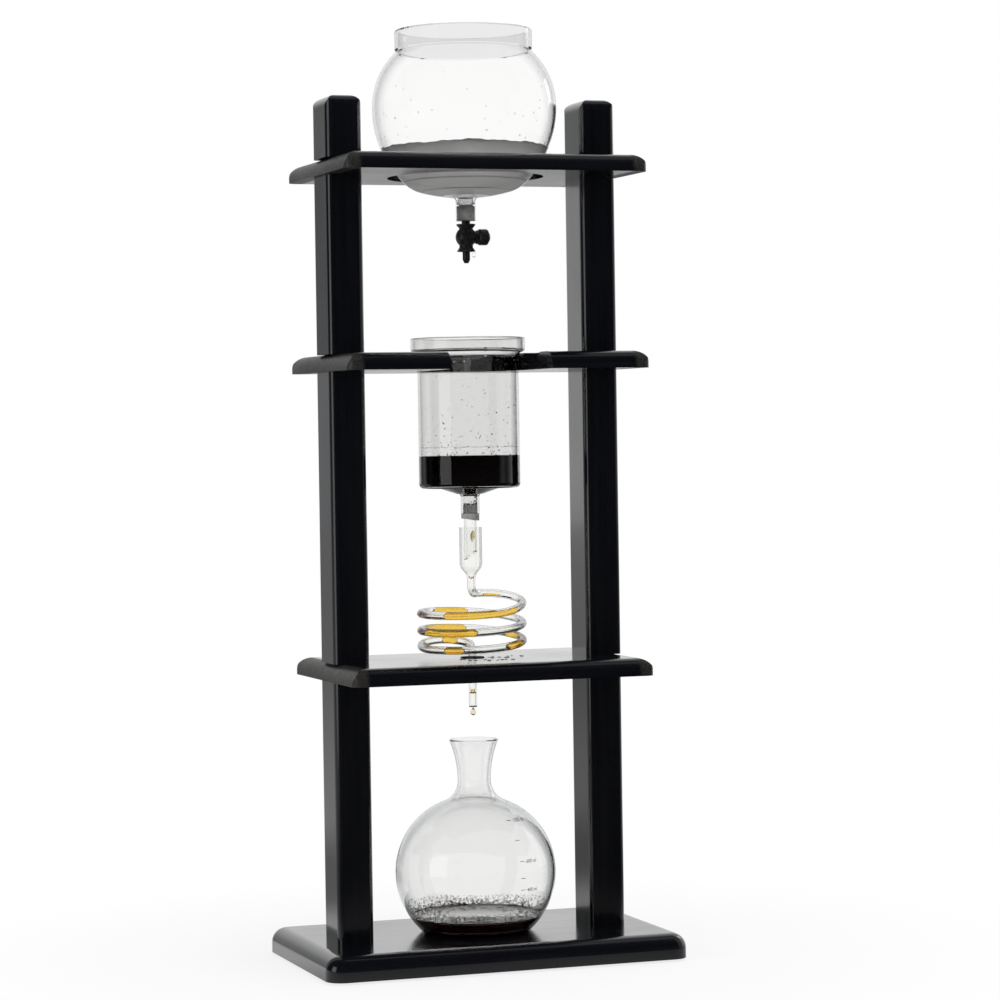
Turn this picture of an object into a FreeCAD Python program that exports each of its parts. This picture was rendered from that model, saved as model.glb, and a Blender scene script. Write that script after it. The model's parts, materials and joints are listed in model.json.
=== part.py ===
"""Cold drip coffee tower.

A black wooden stand carries four glass vessels above each other on one vertical axis: a water
globe with a drip valve, a column for ground coffee, a coil and a flask.

Millimetres. The origin is on the floor, in the middle of the base board and on the vessels' axis.
X runs along the boards, Y to the back and Z up.
"""
import FreeCAD, Part
import math
import os

# ---- Clearances
SEAT_GAP = 0.15            # between a glass vessel and the wood that it rests on
SNUG = 0.03                # radial, between pieces that are pushed together and stay
RUNNING = 0.05             # radial, between pieces that turn or slide in each other

# ---- Boards of the stand
PAD_HEIGHT = 2.0
PAD_D = 24.0
PAD_INSET = 24.0           # from the base's edges to a pad's centre
PAD_EDGE_R = 0.8
BASE_LENGTH = 304.0
BASE_DEPTH = 186.0
BASE_THICK = 20.0
BASE_CORNER_R = 14.0
BASE_EDGE_R = 12.0
SHELF_INSET = 25.0         # from the base's end to a shelf's
SHELF_SETBACK = 7.0        # from the base's front edge to a shelf's
SHELF_THICK = 14.0
SHELF_CORNER_R = 7.0
SHELF_EDGE_R = 12.5

# ---- Posts, each a stack of sections with the shelves clamped between them
POST_WIDTH = 30.0          # along X
POST_DEPTH = 44.0          # along Y
POST_INSET = 43.5          # from the base's end to a post's middle
POST_EDGE_R = 6.0
LOWER_BAY = 210.0          # base to lower shelf
MIDDLE_BAY = 235.0         # lower to middle shelf
UPPER_BAY = 144.0          # middle to upper shelf
CAP_HEIGHT = 50.0
CAP_EDGE_R = 9.5

# ---- Studs, inserts and bolts in the posts
STUD_D = 6.0
STUD_GRIP = 11.0           # length of a stud or bolt inside an insert
STUD_HOLE_PLAY = 0.3       # radial, in the boards
INSERT_D = 10.0
INSERT_END = 2.0           # closed end of an insert
INSERT_LIP_D = 13.0
INSERT_LIP = 1.2
INSERT_RIB = 0.5           # depth of the ribs that bite the wood
INSERT_RIBS = 3
BOLT_HEAD_D = 12.0
BOLT_HEAD_RIM = 0.8
BOLT_HEAD_RECESS = 0.5     # the head's face sits this far inside the base
BOLT_SOCKET = 4.0          # across the flats
BOLT_SOCKET_DEPTH = 2.5

# ---- Openings in the shelves
GLOBE_HOLE_D = 128.0
SLOT_PLAY = 1.1            # each side of the column's body
SCOOP_TOP = 40.0           # finger scoops in the slot's side walls
SCOOP_BOTTOM = 24.0
SCOOP_DEPTH = 6.0
SCOOP_REACH = 10.0
SCOOP_Y = -36.0
GROMMET_D = 18.0           # the ring that grips the coil's outlet in the lower shelf
GROMMET_LIP_D = 20.0
GROMMET_LIP = 0.8

# ---- Globe
GLOBE_D = 150.8
GLOBE_UPPER_R = 62.0       # profile radius above the widest line
GLOBE_LOWER_R = 87.0       # profile radius below it
GLOBE_DEPTH = 73.9         # widest line down to the dished floor
GLOBE_FLOOR_R = 140.0
GLOBE_HEEL_R = 30.0
GLOBE_WALL = 2.0
GLOBE_SHOULDER = 45.8      # widest line up to the groove under the neck
NECK_D = 112.6
NECK_WALL = 3.0
NECK_HEIGHT = 17.0         # groove to rim
NECK_EDGE_R = 1.5
GLOBE_STEM_D = 16.4
GLOBE_STEM_WALL = 1.8
GLOBE_STEM = 18.6          # below the floor
GLOBE_STEM_BLEND_R = 2.5

# ---- Drip valve, measured from the middle of its ball
VALVE_DROP = 13.3          # ball's middle below the stem's end
BALL_D = 17.2
SHANK_D = 7.0
SHANK_TOP = 24.5
WATERWAY_D = 2.4
COLLAR_D = 15.6
COLLAR_TOP = 10.6
COLLAR_LIP = 0.8
WAIST_D = 11.2
WAIST_TOP = 7.2
SKIRT_WAIST = -8.4
SKIRT_END = -11.8
SKIRT_WALL = 0.8
SKIRT_ROOT = -9.6
NOZZLE_D = 6.2
NOZZLE_END = -18.5
NOZZLE_TIP = -21.3
NOZZLE_TIP_D = 3.4
GLAND_D = 10.4
GLAND_END = 8.7
STOPPER_HEIGHT = 13.0      # silicone stopper in the globe's stem
STOPPER_CHAMFER = 1.0
PLUG_D = 8.0
PLUG_START = -5.0
PLUG_END = 7.2
SPINDLE_D = 4.4
RING_SECTION_D = 0.7
RING_PLACES = (-2.8, 4.2)  # O-rings, each side of the waterway
RING_GROOVE_PLAY = 0.15
KNOB_D = 13.2
KNOB_LENGTH = 11.6
KNOB_NECK_D = 11.4
KNOB_NECK = 1.3
KNOB_GAP = 0.4             # to the gland
KNOB_DOME = 2.2
KNOB_EDGE_R = 1.6
KNOB_GRIP = 5.0            # spindle inside the knob

# ---- Column
COLUMN_D = 83.0
COLUMN_WALL = 2.0
COLUMN_RIM_D = 94.0
COLUMN_FLARE = 6.5         # height of the S-shaped flare
COLUMN_RIM = 8.8           # straight rim above the flare
COLUMN_BODY = 107.5        # floor to the start of the flare
COLUMN_HEEL_R = 4.0
COLUMN_BOSS_D = 50.0
COLUMN_BOSS = 4.8          # the floor dips this far towards the stem
COLUMN_BOSS_TIP_D = 21.0
COLUMN_STEM_D = 15.4
COLUMN_STEM_WALL = 1.7
COLUMN_STEM = 16.0
COLUMN_STEM_BLEND_R = 2.0
FILTER_THICK = 2.0
FILTER_PLAY = 0.4          # radial
FILTER_HOLE_D = 3.0
FILTER_RINGS = (9.5, 19.0)
FILTER_HOLES_PER_RING = 6
GASKET_WIDTH = 5.0
GASKET_THICK = 2.0

# ---- Stopper and drip tube under the column
TUBE_STOPPER_GRIP = 7.0    # inside the stem
TUBE_STOPPER_COLLAR = 6.0  # below the stem
TUBE_STOPPER_COLLAR_D = 14.8
TUBE_STOPPER_SLANT = 2.0
DRIP_TUBE_D = 10.4
DRIP_TUBE_WALL = 1.2
DRIP_TUBE = 45.0
DRIP_TUBE_SLANT = 7.5      # the cut end is this much longer on one side

# ---- Coil, one piece of glass
TUBE_D = 6.6
TUBE_BORE_D = 4.2
COIL_R = 41.6
COIL_PITCH = 14.0
COIL_TURNS = 2.5
COIL_EXIT_ANGLE = -19.0    # where the lead-in joins the first turn, in degrees from +X
COIL_STAND_OFF = 8.1       # end of the last turn above the lower shelf
COIL_LEAN = 3.0            # hand-bent turns stand this much higher at the back
LEAD_RISE = 5.5            # the lead-in starts this far above the first turn
TAIL_RISE = 6.0            # the tail climbs this much on its way back to the axis
BEND_R = 7.5               # where the tube turns from upright to level and back
COIL_STUB = 4.5            # straight tube between each of these bends and what joins it
FUNNEL_D = 18.4
FUNNEL_WALL = 1.1
FUNNEL_CUP = 29.0
FUNNEL_TAPER = 14.0
OUTLET_DROP = 26.5         # outlet's end below the lower shelf
OUTLET_THROAT = 13.0       # narrow place in the bore, above the outlet's end
OUTLET_THROAT_D = 2.4

# ---- Flask
FLASK_D = 131.4
FLASK_UPPER_R = 61.5
FLASK_WALL = 1.8
FLASK_MIDDLE = 48.5        # widest line above the flat bottom
FLASK_HEEL_R = 8.0
FLASK_WAIST_D = 27.1
FLASK_SHOULDER_R = 18.0
FLASK_FLARE_R = 89.0
FLASK_HEIGHT = 157.0

# ---- Sizes and heights that follow
SHELF_LENGTH = BASE_LENGTH - 2 * SHELF_INSET
SHELF_DEPTH = BASE_DEPTH - 2 * SHELF_SETBACK
POST_SPACING = BASE_LENGTH - 2 * POST_INSET
BASE_BOTTOM = PAD_HEIGHT
BASE_TOP = BASE_BOTTOM + BASE_THICK
LOWER_SHELF = BASE_TOP + LOWER_BAY
LOWER_TOP = LOWER_SHELF + SHELF_THICK
MIDDLE_SHELF = LOWER_TOP + MIDDLE_BAY
MIDDLE_TOP = MIDDLE_SHELF + SHELF_THICK
UPPER_SHELF = MIDDLE_TOP + UPPER_BAY
UPPER_TOP = UPPER_SHELF + SHELF_THICK
SLOT_R = COLUMN_D / 2 + SLOT_PLAY
OUTLET_HOLE_D = TUBE_D + 2 * RUNNING
SMALL = 1.0                # overshoot of cutting tools
CLOSE = 1e-4               # lengths and directions that differ by less are the same
HEX_SIDES = 6

V = FreeCAD.Vector
AXIS = V(0, 0, 1)


# ---- Outlines in the (r, z) half plane: a path is a list of (point, centre of the arc to it)

def towards(centre, point, distance):
    """The point at this distance from centre, on the way to point."""
    dr = point[0] - centre[0]
    dz = point[1] - centre[1]
    scale = distance / math.hypot(dr, dz)
    return (centre[0] + dr * scale, centre[1] + dz * scale)


def meet(a, radius_a, b, radius_b):
    """Where two circles cross, on the right of the way from a to b."""
    gap = math.hypot(b[0] - a[0], b[1] - a[1])
    along = (gap ** 2 + radius_a ** 2 - radius_b ** 2) / (2 * gap)
    across = math.sqrt(radius_a ** 2 - along ** 2)
    ur = (b[0] - a[0]) / gap
    uz = (b[1] - a[1]) / gap
    return (a[0] + ur * along + uz * across, a[1] + uz * along - ur * across)


def edge(start, end, centre):
    """A straight edge, or the shorter arc about centre."""
    a = V(start[0], 0, start[1])
    b = V(end[0], 0, end[1])
    if centre is None:
        return Part.makeLine(a, b)
    radius = math.hypot(start[0] - centre[0], start[1] - centre[1])
    chord_middle = ((start[0] + end[0]) / 2, (start[1] + end[1]) / 2)
    middle = towards(centre, chord_middle, radius)
    return Part.Arc(a, V(middle[0], 0, middle[1]), b).toShape()


def reverse(path):
    """The same path from its other end."""
    points = [point for point, _ in path][::-1]
    centres = [centre for _, centre in path][:0:-1]
    return [(points[0], None)] + list(zip(points[1:], centres))


def turned(path):
    """The solid of revolution of a path, closed by a straight line."""
    closed = path + [(path[0][0], None)]
    edges = []
    for (start, _), (end, centre) in zip(closed, closed[1:]):
        if math.dist(start, end) > CLOSE:
            edges.append(edge(start, end, centre))
    return Part.Face(Part.Wire(edges)).revolve(V(0, 0, 0), AXIS, 360)


def corners(*points):
    """A path of straight lines."""
    return [(point, None) for point in points]


def s_curve(r0, z0, r1, z1, inset):
    """Two tangent arcs that lead from a wall at r0 up to a wider one at r1."""
    rise = z1 - z0
    turn = 2 * math.atan2(r1 - r0, rise)
    radius = rise / (2 * math.sin(turn))
    low = (r0 + radius, z0)
    high = (r1 - radius, z1)
    middle = towards(low, high, radius + inset)
    return [(middle, low), ((r1 - inset, z1), high)]


def tube(outer_d, inner_d, z0, z1):
    """A straight round tube on the axis."""
    outer = Part.makeCylinder(outer_d / 2, z1 - z0, V(0, 0, z0))
    return outer.cut(Part.makeCylinder(inner_d / 2, z1 - z0, V(0, 0, z0)))


# ---- Wooden stand

def upright_edges(shape):
    """The straight edges that run along Z."""
    found = []
    for side in shape.Edges:
        if side.Length > 0 and abs(side.tangentAt(side.FirstParameter).z) > 1 - CLOSE:
            found.append(side)
    return found


def top_edges(shape, height):
    """The edges that lie in the plane at this height."""
    return [side for side in shape.Edges if side.CenterOfMass.z > height - CLOSE]


def block(length, depth, height, corner_r, z):
    """A block about the axis with rounded upright edges."""
    plain = Part.makeBox(length, depth, height, V(-length / 2, -depth / 2, z))
    return plain.makeFillet(corner_r, upright_edges(plain))


def rounded_top(width, height, radius, z):
    """An upright outline in the XZ plane with rounded upper corners."""
    half = width / 2
    top = z + height
    diagonal = radius * (1 - math.sqrt(0.5))
    edges = [
        Part.makeLine(V(-half, 0, z), V(half, 0, z)),
        Part.makeLine(V(half, 0, z), V(half, 0, top - radius)),
        Part.Arc(V(half, 0, top - radius), V(half - diagonal, 0, top - diagonal),
                 V(half - radius, 0, top)).toShape(),
        Part.makeLine(V(half - radius, 0, top), V(radius - half, 0, top)),
        Part.Arc(V(radius - half, 0, top), V(diagonal - half, 0, top - diagonal),
                 V(-half, 0, top - radius)).toShape(),
        Part.makeLine(V(-half, 0, top - radius), V(-half, 0, z)),
    ]
    return Part.Face(Part.Wire(edges))


def board(length, depth, thick, corner_r, edge_r, z):
    """A block with a rounded top edge, mitred where it is rounder than the corners."""
    plain = block(length, depth, thick, corner_r, z)
    if edge_r < corner_r:
        return plain.makeFillet(edge_r, top_edges(plain, z + thick))
    front = moved(rounded_top(length, thick, edge_r, z), V(0, -depth, 0))
    side = moved(rounded_top(depth, thick, edge_r, z), V(0, -length, 0))
    side.rotate(V(0, 0, 0), AXIS, 90)
    plain = plain.common(front.extrude(V(0, 2 * depth, 0)))
    return plain.common(side.extrude(V(-2 * length, 0, 0)))


def post_places():
    return [V(side * POST_SPACING / 2, 0, 0) for side in (-1, 1)]


def with_stud_holes(shape, z):
    """Cut the two holes that the studs pass through."""
    for place in post_places():
        hole = Part.makeCylinder(STUD_D / 2 + STUD_HOLE_PLAY, SHELF_THICK, place + V(0, 0, z))
        shape = shape.cut(hole)
    return shape


def plain_shelf(z):
    shelf = board(SHELF_LENGTH, SHELF_DEPTH, SHELF_THICK, SHELF_CORNER_R, SHELF_EDGE_R, z)
    return with_stud_holes(shelf, z)


def lower_shelf():
    shelf = plain_shelf(LOWER_SHELF)
    return shelf.cut(Part.makeCylinder(GROMMET_D / 2, SHELF_THICK, V(0, 0, LOWER_SHELF)))


def grommet():
    """The rubber ring that grips the coil's outlet; its lip lies on the shelf."""
    body_r = GROMMET_D / 2 - SNUG
    bore_r = OUTLET_HOLE_D / 2
    lip_r = GROMMET_LIP_D / 2
    lip_top = LOWER_TOP + GROMMET_LIP
    return turned(corners(
        (bore_r, LOWER_SHELF),
        (body_r, LOWER_SHELF),
        (body_r, LOWER_TOP),
        (lip_r, LOWER_TOP),
        (lip_r - GROMMET_LIP / 2, lip_top),
        (bore_r, lip_top),
    ))


def scoop(side):
    """A cut for the fingers in one wall of the slot, narrower at its bottom."""
    near = side * (SLOT_R - SMALL)
    points = []
    for half, z in ((SCOOP_BOTTOM / 2, -SCOOP_DEPTH), (SCOOP_TOP / 2, 0)):
        points.append(V(near, SCOOP_Y - half, MIDDLE_TOP + z))
        points.append(V(near, SCOOP_Y + half, MIDDLE_TOP + z))
    order = [points[0], points[2], points[3], points[1], points[0]]
    return Part.Face(Part.makePolygon(order)).extrude(V(side * (SMALL + SCOOP_REACH), 0, 0))


def middle_shelf():
    """The shelf with a slot, open to the front, that the column's flare hangs in."""
    shelf = plain_shelf(MIDDLE_SHELF)
    height = SHELF_THICK + 2 * SMALL
    start = MIDDLE_SHELF - SMALL
    shelf = shelf.cut(Part.makeCylinder(SLOT_R, height, V(0, 0, start)))
    front = V(-SLOT_R, -SHELF_DEPTH, start)
    shelf = shelf.cut(Part.makeBox(2 * SLOT_R, SHELF_DEPTH, height, front))
    for side in (-1, 1):
        shelf = shelf.cut(scoop(side))
    return shelf


def upper_shelf():
    """The shelf with the round hole that the globe sits in."""
    shelf = plain_shelf(UPPER_SHELF)
    return shelf.cut(Part.makeCylinder(GLOBE_HOLE_D / 2, SHELF_THICK, V(0, 0, UPPER_SHELF)))


def insert():
    """A ribbed, blind insert, its mouth at the origin and its body below."""
    body_r = INSERT_D / 2
    lip_r = INSERT_LIP_D / 2
    depth = STUD_GRIP + INSERT_END
    step = (depth - INSERT_LIP) / (2 * INSERT_RIBS)
    path = corners((0, -depth), (body_r - INSERT_RIB, -depth))
    for i in range(INSERT_RIBS):
        z = -depth + 2 * i * step
        path += corners((body_r, z + step), (body_r - INSERT_RIB, z + step * 2))
    path += corners((lip_r, -INSERT_LIP), (lip_r, 0), (STUD_D / 2 + SNUG, 0))
    path += corners((STUD_D / 2 + SNUG, -STUD_GRIP), (0, -STUD_GRIP))
    return turned(path)


def insert_pocket():
    """The space that an insert takes up in the end of a post section."""
    depth = STUD_GRIP + INSERT_END
    body = Part.makeCylinder(INSERT_D / 2 + SNUG, depth, V(0, 0, -depth))
    return body.fuse(Part.makeCylinder(INSERT_LIP_D / 2 + SNUG, INSERT_LIP, V(0, 0, -INSERT_LIP)))


def flipped(shape):
    """The shape upside down."""
    turned_over = shape.copy()
    turned_over.rotate(V(0, 0, 0), V(1, 0, 0), 180)
    return turned_over


def moved(shape, *shifts):
    copy = shape.copy()
    for shift in shifts:
        copy.translate(shift)
    return copy


SECTIONS = (
    ("lower", BASE_TOP, LOWER_SHELF),
    ("middle", LOWER_TOP, MIDDLE_SHELF),
    ("upper", MIDDLE_TOP, UPPER_SHELF),
)


def section(z0, z1):
    """A post section at the middle of the stand, with a pocket in each end."""
    wood = block(POST_WIDTH, POST_DEPTH, z1 - z0, POST_EDGE_R, z0)
    wood = wood.cut(moved(insert_pocket(), V(0, 0, z1)))
    return wood.cut(moved(flipped(insert_pocket()), V(0, 0, z0)))


def cap():
    """The short top section, its upper edges rounded over."""
    wood = board(POST_WIDTH, POST_DEPTH, CAP_HEIGHT, POST_EDGE_R, CAP_EDGE_R, UPPER_TOP)
    return wood.cut(moved(flipped(insert_pocket()), V(0, 0, UPPER_TOP)))


def post_inserts():
    """Every insert of both posts, as separate solids."""
    solids = []
    for place in post_places():
        for _, z0, z1 in SECTIONS:
            solids.append(moved(insert(), V(0, 0, z1), place))
            solids.append(moved(flipped(insert()), V(0, 0, z0), place))
        solids.append(moved(flipped(insert()), V(0, 0, UPPER_TOP), place))
    return Part.makeCompound(solids)


def shelf_studs():
    """The studs that join the sections through the shelves, as separate solids."""
    solids = []
    for place in post_places():
        for z in (LOWER_SHELF, MIDDLE_SHELF, UPPER_SHELF):
            start = place + V(0, 0, z - STUD_GRIP)
            solids.append(Part.makeCylinder(STUD_D / 2, SHELF_THICK + 2 * STUD_GRIP, start))
    return Part.makeCompound(solids)


def countersink(play):
    """The space of a bolt's shank and conical head, grown by play."""
    head_r = BOLT_HEAD_D / 2 + play
    shank_r = STUD_D / 2 + play
    face = BASE_BOTTOM + BOLT_HEAD_RECESS
    rim = face + BOLT_HEAD_RIM
    neck = rim + head_r - shank_r
    top = BASE_TOP + STUD_GRIP
    points = ((0, face), (head_r, face), (head_r, rim), (shank_r, neck), (shank_r, top), (0, top))
    return turned(corners(*points))


def base_bolt():
    face = BASE_BOTTOM + BOLT_HEAD_RECESS
    socket_r = BOLT_SOCKET / 2 / math.cos(math.pi / HEX_SIDES)
    rim = []
    for i in range(HEX_SIDES + 1):
        angle = 2 * math.pi * i / HEX_SIDES
        rim.append(V(socket_r * math.cos(angle), socket_r * math.sin(angle), face))
    socket = Part.Face(Part.makePolygon(rim)).extrude(V(0, 0, BOLT_SOCKET_DEPTH))
    return countersink(0).cut(socket)


def base_bolts():
    return Part.makeCompound([moved(base_bolt(), place) for place in post_places()])


def base_board():
    """The base, countersunk from below for the bolts."""
    base = board(BASE_LENGTH, BASE_DEPTH, BASE_THICK, BASE_CORNER_R, BASE_EDGE_R, BASE_BOTTOM)
    recess_r = BOLT_HEAD_D / 2 + SNUG
    for place in post_places():
        base = base.cut(moved(countersink(SNUG), place))
        recess = Part.makeCylinder(recess_r, BOLT_HEAD_RECESS, place + V(0, 0, BASE_BOTTOM))
        base = base.cut(recess)
    return base


def foot_pads():
    """Four round pads under the base, as separate solids."""
    solids = []
    for x in (-1, 1):
        for y in (-1, 1):
            place = V(x * (BASE_LENGTH / 2 - PAD_INSET), y * (BASE_DEPTH / 2 - PAD_INSET), 0)
            pad = turned([
                ((0, 0), None),
                ((PAD_D / 2 - PAD_EDGE_R, 0), None),
                ((PAD_D / 2, PAD_EDGE_R), (PAD_D / 2 - PAD_EDGE_R, PAD_EDGE_R)),
                ((PAD_D / 2, PAD_HEIGHT), None),
                ((0, PAD_HEIGHT), None),
            ])
            solids.append(moved(pad, place))
    return Part.makeCompound(solids)


# ---- Globe: its lower wall rests on the top edge of the upper shelf's hole

GLOBE_LOWER_CENTRE_R = GLOBE_D / 2 - GLOBE_LOWER_R
GLOBE_SEAT = math.sqrt(GLOBE_LOWER_R ** 2 - (GLOBE_HOLE_D / 2 - GLOBE_LOWER_CENTRE_R) ** 2)
GLOBE_MIDDLE = UPPER_TOP + SEAT_GAP + GLOBE_SEAT
GLOBE_FLOOR = GLOBE_MIDDLE - GLOBE_DEPTH
GLOBE_STEM_END = GLOBE_FLOOR - GLOBE_STEM
GROOVE = GLOBE_MIDDLE + GLOBE_SHOULDER


def globe_body(inset):
    """From the stem's end up to the groove under the neck, moved inwards by inset."""
    upper = (GLOBE_D / 2 - GLOBE_UPPER_R, GLOBE_MIDDLE)
    lower = (GLOBE_LOWER_CENTRE_R, GLOBE_MIDDLE)
    dish = (0, GLOBE_FLOOR + GLOBE_FLOOR_R)
    heel = meet(lower, GLOBE_LOWER_R - GLOBE_HEEL_R, dish, GLOBE_FLOOR_R - GLOBE_HEEL_R)
    stem_r = GLOBE_STEM_D / 2
    blend_r = stem_r + GLOBE_STEM_BLEND_R
    blend_reach = GLOBE_FLOOR_R + GLOBE_STEM_BLEND_R
    blend = (blend_r, dish[1] - math.sqrt(blend_reach ** 2 - blend_r ** 2))
    bore_r = stem_r - inset * GLOBE_STEM_WALL / GLOBE_WALL
    stem_inset = stem_r - bore_r
    groove_r = upper[0] + math.sqrt((GLOBE_UPPER_R - inset) ** 2 - GLOBE_SHOULDER ** 2)
    return [
        ((bore_r, GLOBE_STEM_END), None),
        ((bore_r, blend[1]), None),
        (towards(blend, dish, GLOBE_STEM_BLEND_R + stem_inset), blend),
        (towards(dish, heel, GLOBE_FLOOR_R - inset), dish),
        (towards(lower, heel, GLOBE_LOWER_R - inset), heel),
        ((GLOBE_D / 2 - inset, GLOBE_MIDDLE), lower),
        ((groove_r, GROOVE), upper),
    ]


def globe_glass():
    """A bowl with a thick neck ring and an outlet stem."""
    outer_r = NECK_D / 2
    inner_r = outer_r - NECK_WALL
    rim = GROOVE + NECK_HEIGHT
    soft = NECK_EDGE_R
    neck = [
        ((outer_r, GROOVE + soft), None),
        ((outer_r, rim - soft), None),
        ((outer_r - soft, rim), (outer_r - soft, rim - soft)),
        ((inner_r + soft, rim), None),
        ((inner_r, rim - soft), (inner_r + soft, rim - soft)),
        ((inner_r, GROOVE + soft), None),
    ]
    return turned(globe_body(0) + neck + reverse(globe_body(GLOBE_WALL)))


# ---- Drip valve

BALL = GLOBE_STEM_END - VALVE_DROP
BORE_R = GLOBE_STEM_D / 2 - GLOBE_STEM_WALL


def valve_stopper():
    """The silicone stopper between the globe's stem and the valve's shank."""
    outer_r = BORE_R - SNUG
    inner_r = SHANK_D / 2 + SNUG
    top = GLOBE_STEM_END + STOPPER_HEIGHT
    return turned(corners(
        (inner_r, GLOBE_STEM_END),
        (outer_r, GLOBE_STEM_END),
        (outer_r, top - STOPPER_CHAMFER),
        (outer_r - STOPPER_CHAMFER, top),
        (inner_r, top),
    ))


def valve_body():
    """Shank, collar, ball, skirt and nozzle in one moulding, bored across for the plug."""
    ball_r = BALL_D / 2
    waist_r = WAIST_D / 2
    collar_r = COLLAR_D / 2
    skirt_r = COLLAR_D / 2
    nozzle_r = NOZZLE_D / 2
    ball = (0, BALL)
    ball_top = BALL + math.sqrt(ball_r ** 2 - waist_r ** 2)
    ball_bottom = BALL - math.sqrt(ball_r ** 2 - waist_r ** 2)
    outline = [
        ((0, BALL + SHANK_TOP), None),
        ((SHANK_D / 2, BALL + SHANK_TOP), None),
        ((SHANK_D / 2, BALL + COLLAR_TOP), None),
        ((collar_r, BALL + COLLAR_TOP), None),
        ((collar_r, BALL + COLLAR_TOP - COLLAR_LIP), None),
        ((waist_r, BALL + WAIST_TOP), None),
        ((waist_r, ball_top), None),
        ((ball_r, BALL), ball),
        ((waist_r, ball_bottom), ball),
        ((waist_r, BALL + SKIRT_WAIST), None),
        ((skirt_r, BALL + SKIRT_END), None),
        ((skirt_r - SKIRT_WALL, BALL + SKIRT_END), None),
        ((nozzle_r, BALL + SKIRT_ROOT), None),
        ((nozzle_r, BALL + NOZZLE_END), None),
        ((NOZZLE_TIP_D / 2, BALL + NOZZLE_TIP), None),
        ((0, BALL + NOZZLE_TIP), None),
    ]
    body = turned(outline)
    gland = Part.makeCylinder(GLAND_D / 2, GLAND_END, V(0, 0, BALL), V(1, 0, 0))
    body = body.fuse(gland)
    seat = V(PLUG_START - RUNNING, 0, BALL)
    body = body.cut(Part.makeCylinder(PLUG_D / 2 + RUNNING, BALL_D, seat, V(1, 0, 0)))
    waterway = V(0, 0, BALL + NOZZLE_TIP)
    return body.cut(Part.makeCylinder(WATERWAY_D / 2, SHANK_TOP - NOZZLE_TIP, waterway))


def sideways(shape):
    """Lay a shape turned about Z along +X, at the height of the ball."""
    laid = shape.copy()
    laid.rotate(V(0, 0, 0), V(0, 1, 0), 90)
    laid.translate(V(0, 0, BALL))
    return laid


RING_SEAT_R = PLUG_D / 2 - RING_SECTION_D


def valve_plug():
    """The turning plug with its cross hole, two grooves and the spindle."""
    plug_r = PLUG_D / 2
    half = RING_SECTION_D / 2 + RING_GROOVE_PLAY
    path = corners((0, PLUG_START), (plug_r, PLUG_START))
    for x in RING_PLACES:
        path += corners((plug_r, x - half), (RING_SEAT_R, x - half))
        path += corners((RING_SEAT_R, x + half), (plug_r, x + half))
    spindle_end = GLAND_END + KNOB_GAP + KNOB_GRIP
    path += corners((plug_r, PLUG_END), (SPINDLE_D / 2, PLUG_END))
    path += corners((SPINDLE_D / 2, spindle_end), (0, spindle_end))
    plug = sideways(turned(path))
    start = V(0, -plug_r - SMALL, BALL)
    length = PLUG_D + 2 * SMALL
    return plug.cut(Part.makeCylinder(WATERWAY_D / 2, length, start, V(0, 1, 0)))


def plug_rings():
    """The two O-rings of the plug, as separate solids."""
    solids = []
    for x in RING_PLACES:
        section_r = RING_SECTION_D / 2
        ring = Part.makeTorus(RING_SEAT_R + section_r, section_r, V(0, 0, x))
        solids.append(sideways(ring))
    return Part.makeCompound(solids)


def valve_knob():
    """The domed knob, pressed on the spindle."""
    start = GLAND_END + KNOB_GAP
    end = start + KNOB_LENGTH
    knob_r = KNOB_D / 2
    bore_r = SPINDLE_D / 2 + SNUG
    shoulder = end - KNOB_DOME
    flat_r = knob_r - KNOB_EDGE_R
    dome_r = (flat_r ** 2 + KNOB_DOME ** 2) / (2 * KNOB_DOME)
    edge_centre = (flat_r, shoulder - KNOB_EDGE_R)
    knob = turned([
        ((bore_r, start), None),
        ((KNOB_NECK_D / 2, start), None),
        ((KNOB_NECK_D / 2, start + KNOB_NECK), None),
        ((knob_r, start + KNOB_NECK + (KNOB_D - KNOB_NECK_D) / 2), None),
        ((knob_r, shoulder - KNOB_EDGE_R), None),
        ((flat_r, shoulder), edge_centre),
        ((0, end), (0, end - dome_r)),
        ((0, start + KNOB_GRIP), None),
        ((bore_r, start + KNOB_GRIP), None),
    ])
    return sideways(knob)


# ---- Column: its flare hangs on the edges of the middle shelf's slot

FLARE_TURN = 2 * math.atan2((COLUMN_RIM_D - COLUMN_D) / 2, COLUMN_FLARE)
FLARE_R = COLUMN_FLARE / (2 * math.sin(FLARE_TURN))
FLARE_SEAT = FLARE_R * math.sin(math.acos(1 - SLOT_PLAY / FLARE_R))
FLARE = MIDDLE_TOP + SEAT_GAP - FLARE_SEAT
COLUMN_FLOOR = FLARE - COLUMN_BODY
COLUMN_BOSS_TIP = COLUMN_FLOOR - COLUMN_BOSS
COLUMN_STEM_END = COLUMN_BOSS_TIP - COLUMN_STEM
COLUMN_BORE_R = COLUMN_STEM_D / 2 - COLUMN_STEM_WALL


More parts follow.
